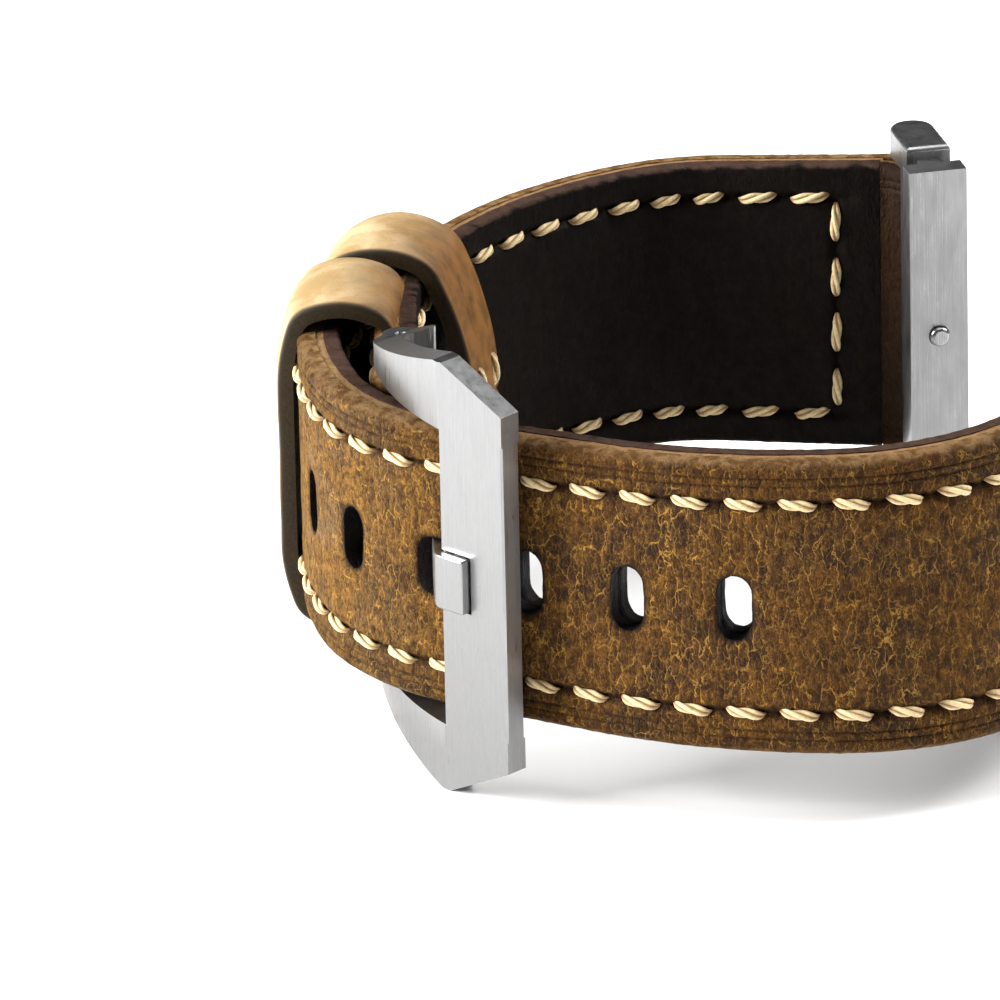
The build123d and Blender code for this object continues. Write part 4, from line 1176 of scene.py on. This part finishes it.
def pattern(**inputs: float) -> Callable[[Drawing], Callable[[], bpy.types.NodeTree]]:
    """Make a function that wires a pattern into one that gives its group, made once.

    Args:
        inputs: the group's values beside its vector, the scale first, as they are by default.

    Returns:
        The decorator.
    """

    def decorate(draw: Drawing) -> Callable[[], bpy.types.NodeTree]:
        """Wrap one drawing.

        Args:
            draw: wires the pattern from its inputs and its scaled vector, and gives what it puts out.

        Returns:
            A function that gives the group.
        """

        @cache
        def group() -> bpy.types.NodeTree:
            """Make the group on the first call.

            Returns:
                The group.
            """
            tree = bpy.data.node_groups.new(draw.__name__, "ShaderNodeTree")
            tree.interface.new_socket("Vector", in_out="INPUT", socket_type="NodeSocketVector")
            for key, value in inputs.items():
                socket = tree.interface.new_socket(key, in_out="INPUT", socket_type="NodeSocketFloat")
                socket.default_value = value
            wiring, source = Wiring(tree), tree.nodes.new("NodeGroupInput").outputs
            results = draw(wiring, source, wiring.arrow("SCALE", source["Vector"], source["Scale"]))
            for key in results:
                tree.interface.new_socket(key, in_out="OUTPUT", socket_type="NodeSocketFloat")
            wiring.fill(tree.nodes.new("NodeGroupOutput").inputs, results)
            return tree

        return group

    return decorate


@pattern(Scale=1.0, Low=0.4, High=0.6)
def mottle(wiring: Wiring, source: Sockets, place: Socket) -> Results:
    """Cloudy patches, from 0 to 1."""
    cloud = wiring.cloud(place, 5.0, 0.62, distortion=0.4)
    return {"Mask": wiring.ramp(cloud[0], source["Low"], source["High"])}


@pattern(Scale=1.0, Width=0.1, Stretch=0.5)
def crackle(wiring: Wiring, source: Sockets, place: Socket) -> Results:
    """Fine broken lines of waxed leather: the borders of bent and stretched cells.

    Args:
        wiring: the group's nodes.
        source: the group's inputs.
        place: its scaled vector.

    Returns:
        A mask of the lines, a height, and a tone for each piece between them.
    """
    drift = wiring.cloud(place, 3.0, scale=0.9)[1]
    push = wiring.arrow("SCALE", wiring.arrow("SUBTRACT", drift, (0.5, 0.5, 0.5)), 1.1)
    shrink = wiring.add("CombineXYZ", {0: 1.0, 1: source["Stretch"], 2: 1.0}).outputs[0]
    drawn = {"Vector": wiring.arrow("MULTIPLY", wiring.arrow("ADD", place, push), shrink), "Scale": 1.0}
    border = wiring.add("TexVoronoi", drawn, feature="DISTANCE_TO_EDGE").outputs[0]
    pieces = wiring.add("TexVoronoi", drawn, feature="F1").outputs["Color"]
    kept = wiring.ramp(wiring.cloud(place, 4.0, 0.7, 0.45)[0], 0.38, 0.6, 0.12, 1.0)
    return {"Mask": wiring.times(wiring.ramp(border, 0.0, source["Width"], 1.0, 0.0), kept),
            "Height": wiring.ramp(border, 0.0, 0.35), "Tone": wiring.parts(pieces)[0]}


@pattern(Scale=1.0, Roughness=0.7)
def grain(wiring: Wiring, source: Sockets, place: Socket) -> Results:
    """Pores and fibres, as a height round 0.5."""
    return {"Height": wiring.cloud(place, 8.0, source["Roughness"])[0]}


@pattern(Scale=1.0, Draw=0.02)
def brushing(wiring: Wiring, source: Sockets, place: Socket) -> Results:
    """Fine straight scratches along Z, as a value round 0.5."""
    shrink = wiring.add("CombineXYZ", {0: 1.0, 1: 1.0, 2: source["Draw"]}).outputs[0]
    return {"Lines": wiring.cloud(wiring.arrow("MULTIPLY", place, shrink), 6.0, 0.65)[0]}


@dataclass(frozen=True)
class Finish:
    """What every finish has."""

    name: str

    def material(self) -> bpy.types.Material:
        """Give the finish's material, made once.

        Returns:
            The material.
        """
        found = bpy.data.materials.get(self.name)
        if found:
            return found
        material = bpy.data.materials.new(self.name)
        material.use_nodes = True
        material.node_tree.nodes.clear()
        wiring = Wiring(material.node_tree)
        shader = wiring.add("BsdfPrincipled")
        wiring.add("OutputMaterial", {0: shader.outputs[0]})
        height, depth, looks = self.looks(wiring)
        bump = wiring.add("Bump", {"Height": height, "Strength": 1.0, "Distance": depth * MM})
        wiring.fill(shader.inputs, {**looks, "Normal": bump.outputs[0]})
        return material

    def looks(self, wiring: Wiring) -> tuple[Socket, float, dict]:
        """Wire the finish.

        Args:
            wiring: its material's nodes.

        Returns:
            The height, its depth in mm, and the shader's inputs.
        """
        raise NotImplementedError


@dataclass(frozen=True)
class LeatherFinish(Finish):
    """Oil-waxed leather with crackle, dark patches and a raw edge."""

    mid: Colour = tint(90, 58, 24)
    dark: Colour = tint(42, 26, 15)
    light: Colour = tint(126, 86, 34)
    # painted light: a lighter tone laid toward the start of each strap's length
    painted_light: Colour = tint(176, 132, 66)
    line: Colour = tint(190, 142, 64)
    raw: Colour = tint(148, 116, 78)
    # darkens pores, thread grooves, creases and the edge band, and paints shade on the leather turned round the
    # bars
    pressed: Colour = tint(34, 20, 12)
    # painted shade on the hole walls and a thin ring round each hole
    hole: Colour = tint(16, 12, 10)
    line_share: float = 0.75
    hair_share: float = 0.4
    spot_share: float = 0.5
    blot_share: float = 0.65
    tone_shares: Point = (0.3, 0.4)
    pit_share: float = 0.55
    fibre_share: float = 0.5
    pressed_share: float = 0.95
    raw_mottle: float = 0.9
    patch: Point = (0.36, 0.62)
    painted_light_run: Point = (68.0, 30.0)
    roughness: float = 0.62
    painted_light_share: float = 0.34
    gloss: float = 0.08
    relief: float = 0.12

    def looks(self, wiring: Wiring) -> tuple[Socket, float, dict]:
        """Mix the patches, lines and edges.

        Args:
            wiring: the material's nodes.

        Returns:
            The height, its depth in mm, and the shader's inputs.
        """
        flat, (raw, pressed, hole) = wiring.attribute("flat"), wiring.parts(wiring.attribute("marks"))
        clouds = ((0.16, *self.patch), (0.9, 0.4, 0.62), (0.42, 0.5, 0.64), (1.9, 0.5, 0.6))
        patches, spots, blots, pits = (wiring.group(mottle(), flat, *cloud)[0] for cloud in clouds)
        lines = wiring.group(crackle(), flat, 1.1, 0.04, 0.28)
        hairs = wiring.group(crackle(), flat, 3.2, 0.09, 0.34)
        fine = wiring.group(grain(), flat, 6.0, 0.75)[0]
        raw_tone = wiring.coats(self.raw, [(wiring.times(spots, self.raw_mottle), self.mid)])
        colour = wiring.coats(self.dark, (
            (patches, self.mid),
            (wiring.times(spots, self.spot_share), self.light),
            # painted light: lightens each strap toward the start of its length
            (wiring.ramp(wiring.parts(flat)[0], *self.painted_light_run, 0.0, self.painted_light_share), self.painted_light),
            (wiring.times(blots, self.blot_share), self.dark),
            (wiring.times(wiring.ramp(lines["Tone"], 0.2, 1.0), self.tone_shares[0]), self.dark),
            (wiring.times(wiring.ramp(hairs["Tone"], 0.3, 1.0), self.tone_shares[1]), self.dark),
            (wiring.times(hairs["Mask"], self.line_share * self.hair_share), self.line),
            (wiring.times(lines["Mask"], self.line_share), self.line),
            (wiring.times(pits, self.pit_share), self.pressed),
            (wiring.times(wiring.ramp(fine, 0.42, 0.66), self.fibre_share), self.dark),
            (wiring.times(raw, wiring.ramp(fine, 0.7, 0.4, 0.65, 1.0)), raw_tone),
            # the pressed mark darkens the thread grooves, the creases and the band along the edge, and paints
            # shade on the leather turned round the bars
            (wiring.times(pressed, self.pressed_share), self.pressed),
            # painted shade on the hole walls and a thin ring round each hole
            (hole, self.hole)))
        dullness = wiring.ramp(wiring.plus(patches, wiring.times(fine, 0.6)), 0.2, 1.4,
                               self.roughness - 0.14, self.roughness + 0.16)
        height = wiring.plus(wiring.times(lines["Height"], 0.5), wiring.times(hairs["Height"], 0.3))
        height = wiring.plus(height, wiring.times(fine, wiring.plus(0.55, raw)))
        looks = {"Base Color": colour, "Roughness": dullness, "Specular IOR Level": self.gloss}
        return height, self.relief, looks


@dataclass(frozen=True)
class KeeperFinish(Finish):
    """Smooth pale waxed leather with a dark cut edge."""

    pale: Colour = tint(198, 175, 136)
    warm: Colour = tint(164, 136, 92)
    wrist: Colour = tint(132, 90, 44)
    patch: Colour = tint(88, 58, 28)
    # dark specks, and painted shade on the rounded rims
    dark_speck_and_shade: Colour = tint(36, 26, 12)
    cut: Colour = tint(52, 40, 18)
    speck_share: float = 0.3
    gloss: float = 0.2
    relief: float = 0.05

    def looks(self, wiring: Wiring) -> tuple[Socket, float, dict]:
        """Mix the clouds, specks, cut edge and the painted shade on the rims.

        Args:
            wiring: the material's nodes.

        Returns:
            The height, its depth in mm, and the shader's inputs.
        """
        flat, (cut, wrist, rim) = wiring.attribute("flat"), wiring.parts(wiring.attribute("marks"))
        clouds = wiring.group(mottle(), flat, 0.22, 0.35, 0.65)[0]
        specks = wiring.group(mottle(), flat, 2.4, 0.6, 0.72)[0]
        patches = wiring.group(mottle(), flat, 0.45, 0.36, 0.72)[0]
        fine = wiring.group(grain(), flat, 6.0, 0.7)[0]
        dots = wiring.times(specks, self.speck_share)
        colour = wiring.coats(self.pale, (
            (clouds, self.warm),
            (wrist, wiring.coats(self.wrist, [(patches, self.patch)])),
            (dots, self.dark_speck_and_shade),
            # painted shade along the band's rounded rims
            (rim, self.dark_speck_and_shade),
            (cut, wiring.coats(self.cut, [(wiring.ramp(fine, 0.35, 0.65), self.dark_speck_and_shade)]))))
        looks = {"Base Color": colour, "Roughness": wiring.ramp(fine, 0.2, 0.8, 0.42, 0.62),
                 "Specular IOR Level": self.gloss}
        return wiring.plus(fine, dots), self.relief, looks


@dataclass(frozen=True)
class ThreadFinish(Finish):
    """Waxed cream thread with a little fluff."""

    bright: Colour = tint(240, 214, 160)
    # darker fibres, and painted shade in the crevices between the strands
    dark_fibre_and_shade: Colour = tint(150, 108, 58)
    crevice_shade_share: float = 0.8
    roughness: float = 0.55
    sheen: float = 0.25
    relief: float = 0.02

    def looks(self, wiring: Wiring) -> tuple[Socket, float, dict]:
        """Mix the fibres and the painted shade between the strands.

        Args:
            wiring: the material's nodes.

        Returns:
            The height, its depth in mm, and the shader's inputs.
        """
        inside = wiring.parts(wiring.attribute("marks"))[0]
        fine = wiring.group(grain(), wiring.attribute("flat"), 4.0, 0.6)[0]
        # painted shade: the crevices between the strands are darkened
        fibres, crevice_shade = wiring.ramp(fine, 0.45, 0.9), wiring.times(inside, self.crevice_shade_share)
        colour = wiring.coats(self.bright, ((fibres, self.dark_fibre_and_shade), (crevice_shade, self.dark_fibre_and_shade)))
        looks = {"Base Color": colour, "Roughness": self.roughness, "Sheen Weight": self.sheen}
        return fine, self.relief, looks


@dataclass(frozen=True)
class SteelFinish(Finish):
    """Brushed steel, with the scratches across the strap."""

    tone: Colour = tint(164, 164, 164)
    low: Colour = tint(152, 152, 152)
    rough: Point = (0.26, 0.44)
    shares: Point = (0.6, 0.4)
    relief: float = 0.004

    def looks(self, wiring: Wiring) -> tuple[Socket, float, dict]:
        """Draw the brushing.

        Args:
            wiring: the material's nodes.

        Returns:
            The height, its depth in mm, and the shader's inputs.
        """
        place = wiring.add("TexCoord").outputs["Object"]
        lines = wiring.group(brushing(), place, 14000.0, 0.008)[0]
        broad = wiring.group(brushing(), place, 1200.0, 0.3)[0]
        both = wiring.plus(wiring.times(lines, self.shares[0]), wiring.times(broad, self.shares[1]))
        colour = wiring.coats(self.low, [(wiring.ramp(both, 0.35, 0.65), self.tone)])
        dullness = wiring.ramp(both, 0.35, 0.65, *reversed(self.rough))
        return lines, self.relief, {"Base Color": colour, "Roughness": dullness, "Metallic": 1.0}


@dataclass(frozen=True)
class Steel:
    """The metal solids, kept as they are and given their finishes."""

    brushed: SteelFinish = SteelFinish("brushed_steel_finish")
    satin: SteelFinish = SteelFinish("bar_steel_finish", tint(180, 180, 180), tint(150, 150, 150),
                                     (0.2, 0.34))
    buckle: tuple[str, ...] = ("buckle_frame", "rear_adapter", "front_adapter")

    def dress(self) -> None:
        """Give every metal node its material, and the buckle frame and adapters a fine broken edge."""
        for name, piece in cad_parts.items():
            if piece.hide_render:
                continue
            finish = self.brushed if name in self.buckle else self.satin
            piece.data.materials.clear()
            piece.data.materials.append(finish.material())
            piece.modifiers.new("weld", "WELD").merge_threshold = 1e-6
            if name in self.buckle:
                round_edges(piece, width=0.12, segments=2, angle=28)
            log.info("%s: %s", name, finish.name)


@dataclass(frozen=True)
class Studio:
    """Camera, floor and soft light, with lengths in metres."""

    eye: Place = (-0.01430, -0.90930, 0.37258)
    elevation: float = math.radians(21.57)
    roll: float = math.radians(-1.27)
    lens: float = 462.4
    sensor: float = 36.0
    sight: float = 20.0
    aim: Place = (0.0, 0.0, 0.017)
    glow: Point = (0.12, 0.02)
    floor_radius: float = 6.0
    paper: float = 0.93

    def camera(self) -> None:
        """Stand the camera where the photograph was taken from."""
        tilt, roll = self.elevation, self.roll
        right = Vector((math.cos(roll), math.sin(roll) * math.sin(tilt), math.sin(roll) * math.cos(tilt)))
        up = Vector((-math.sin(roll), math.cos(roll) * math.sin(tilt), math.cos(roll) * math.cos(tilt)))
        data = bpy.data.cameras.new("camera")
        data.lens = self.lens
        data.sensor_width = self.sensor
        data.clip_end = self.sight
        camera = stand("camera", data)
        turn = Matrix((right, up, right.cross(up))).transposed().to_4x4()
        camera.matrix_world = Matrix.Translation(self.eye) @ turn
        bpy.context.scene.camera = camera

    def floor(self) -> None:
        """Lay a plain pale floor."""
        mesh = bmesh.new()
        bmesh.ops.create_circle(mesh, cap_ends=True, segments=64, radius=self.floor_radius)
        data = baked(mesh, "floor")
        material = bpy.data.materials.new("floor_paper")
        material.use_nodes = True
        looks = {"Base Color": (*(self.paper,) * 3, 1.0), "Roughness": 0.9, "Specular IOR Level": 0.1}
        Wiring(material.node_tree).fill(material.node_tree.nodes["Principled BSDF"].inputs, looks)
        data.materials.append(material)
        floor = stand("floor", data)

    def softbox(self, name: str, place: Place, size: float, power: float) -> None:
        """Hang a square light that faces the strap.

        Args:
            name: the light's name.
            place: where it hangs.
            size: its side.
            power: its power in watts.
        """
        data = bpy.data.lights.new(name, "AREA")
        data.size = size
        data.energy = power
        light = stand(name, data)
        light.location = place
        light.rotation_euler = (Vector(self.aim) - Vector(place)).to_track_quat("-Z", "Y").to_euler()

    def sky(self) -> None:
        """Surround the strap with soft grey light that is darker behind it."""
        world = bpy.data.worlds.new("studio")
        world.use_nodes = True
        wiring = Wiring(world.node_tree)
        _, y, z = wiring.parts(wiring.add("TexCoord").outputs["Generated"])
        behind = wiring.times(wiring.ramp(y, 0.1, 0.7), wiring.ramp(z, 0.75, 0.3))
        light = {0: (1.0, 1.0, 1.0, 1.0), 1: wiring.ramp(behind, 0.0, 1.0, *self.glow)}
        wiring.fill(world.node_tree.nodes["Background"].inputs, light)
        bpy.context.scene.world = world

    def build(self) -> None:
        """Set up the whole studio."""
        self.camera()
        self.floor()
        self.sky()
        self.softbox("key_left", (-1.5, -0.2, 0.65), size=0.9, power=70.0)
        self.softbox("overhead", (0.1, 0.1, 1.6), size=1.2, power=14.0)
        self.softbox("rim_right", (1.15, 0.35, 1.0), size=0.6, power=26.0)
        bpy.context.scene.view_settings.view_transform = "Standard"


def openings() -> tuple[Opening, ...]:
    """List the long strap's holes, the buckled one leaning with the tongue's leg.

    Returns:
        The holes, the buckled one last.
    """
    buckled, pitch = 51.92, 8.25
    plain = [Opening(buckled + pitch * step, 1.3, 2.45, 1.3) for step in (1, 2, 3, -1, -2, -3)]
    leaning = Opening(buckled + 0.9, half_length=1.95, half_height=2.25, corner=1.2, lean=0.8)
    return (*plain, leaning)


def main() -> None:
    """Build every piece in order."""
    logging.basicConfig(level=logging.INFO, format="%(name)s %(message)s")
    leather = LeatherFinish("waxed_finish")
    lining = LeatherFinish("lining_finish", mid=tint(24, 19, 15), dark=tint(15, 12, 10),
                           light=tint(32, 25, 20), line=tint(40, 30, 23), raw=tint(74, 55, 46),
                           pressed=tint(18, 11, 7), line_share=0.2, raw_mottle=0.35, painted_light_share=0.0,
                           roughness=0.55, gloss=0.06, relief=0.06)
    edge = LeatherFinish("filler_finish", mid=tint(140, 106, 70), dark=tint(92, 64, 40),
                         light=tint(176, 144, 104), raw=tint(160, 128, 90), line_share=0.2, roughness=0.85,
                         relief=0.2)
    keeper = KeeperFinish("keeper_finish")
    cream = ThreadFinish("thread_finish")
    thread, keepers, steel = Thread(), Keepers(), Steel()
    long_end, short_end = PLAN.long.length, PLAN.short.length
    long_rows = Rows(start=12.5, end=long_end - 8.0, inset=3.1, cross=long_end - 6.0)
    short_rows = Rows(start=8.0, end=short_end - 5.5, inset=2.5, cross=6.0)
    long_strap = Strap("long", PLAN.long, long_rows, openings())
    short_strap = Strap("short", PLAN.short, short_rows, loops=(True, True), slot_half=2.265, crease=1.4)
    for strap in (long_strap, short_strap):
        strap.leather(leather)
        strap.lining(lining)
        strap.padding(edge)
        strap.stitching(thread, cream)
    keepers.fixed(keeper)
    keepers.free(keeper)
    keepers.thread(thread, cream)
    Tongue().build(steel.brushed)
    steel.dress()
    Studio().build()


if __name__ == "__main__":
    main()
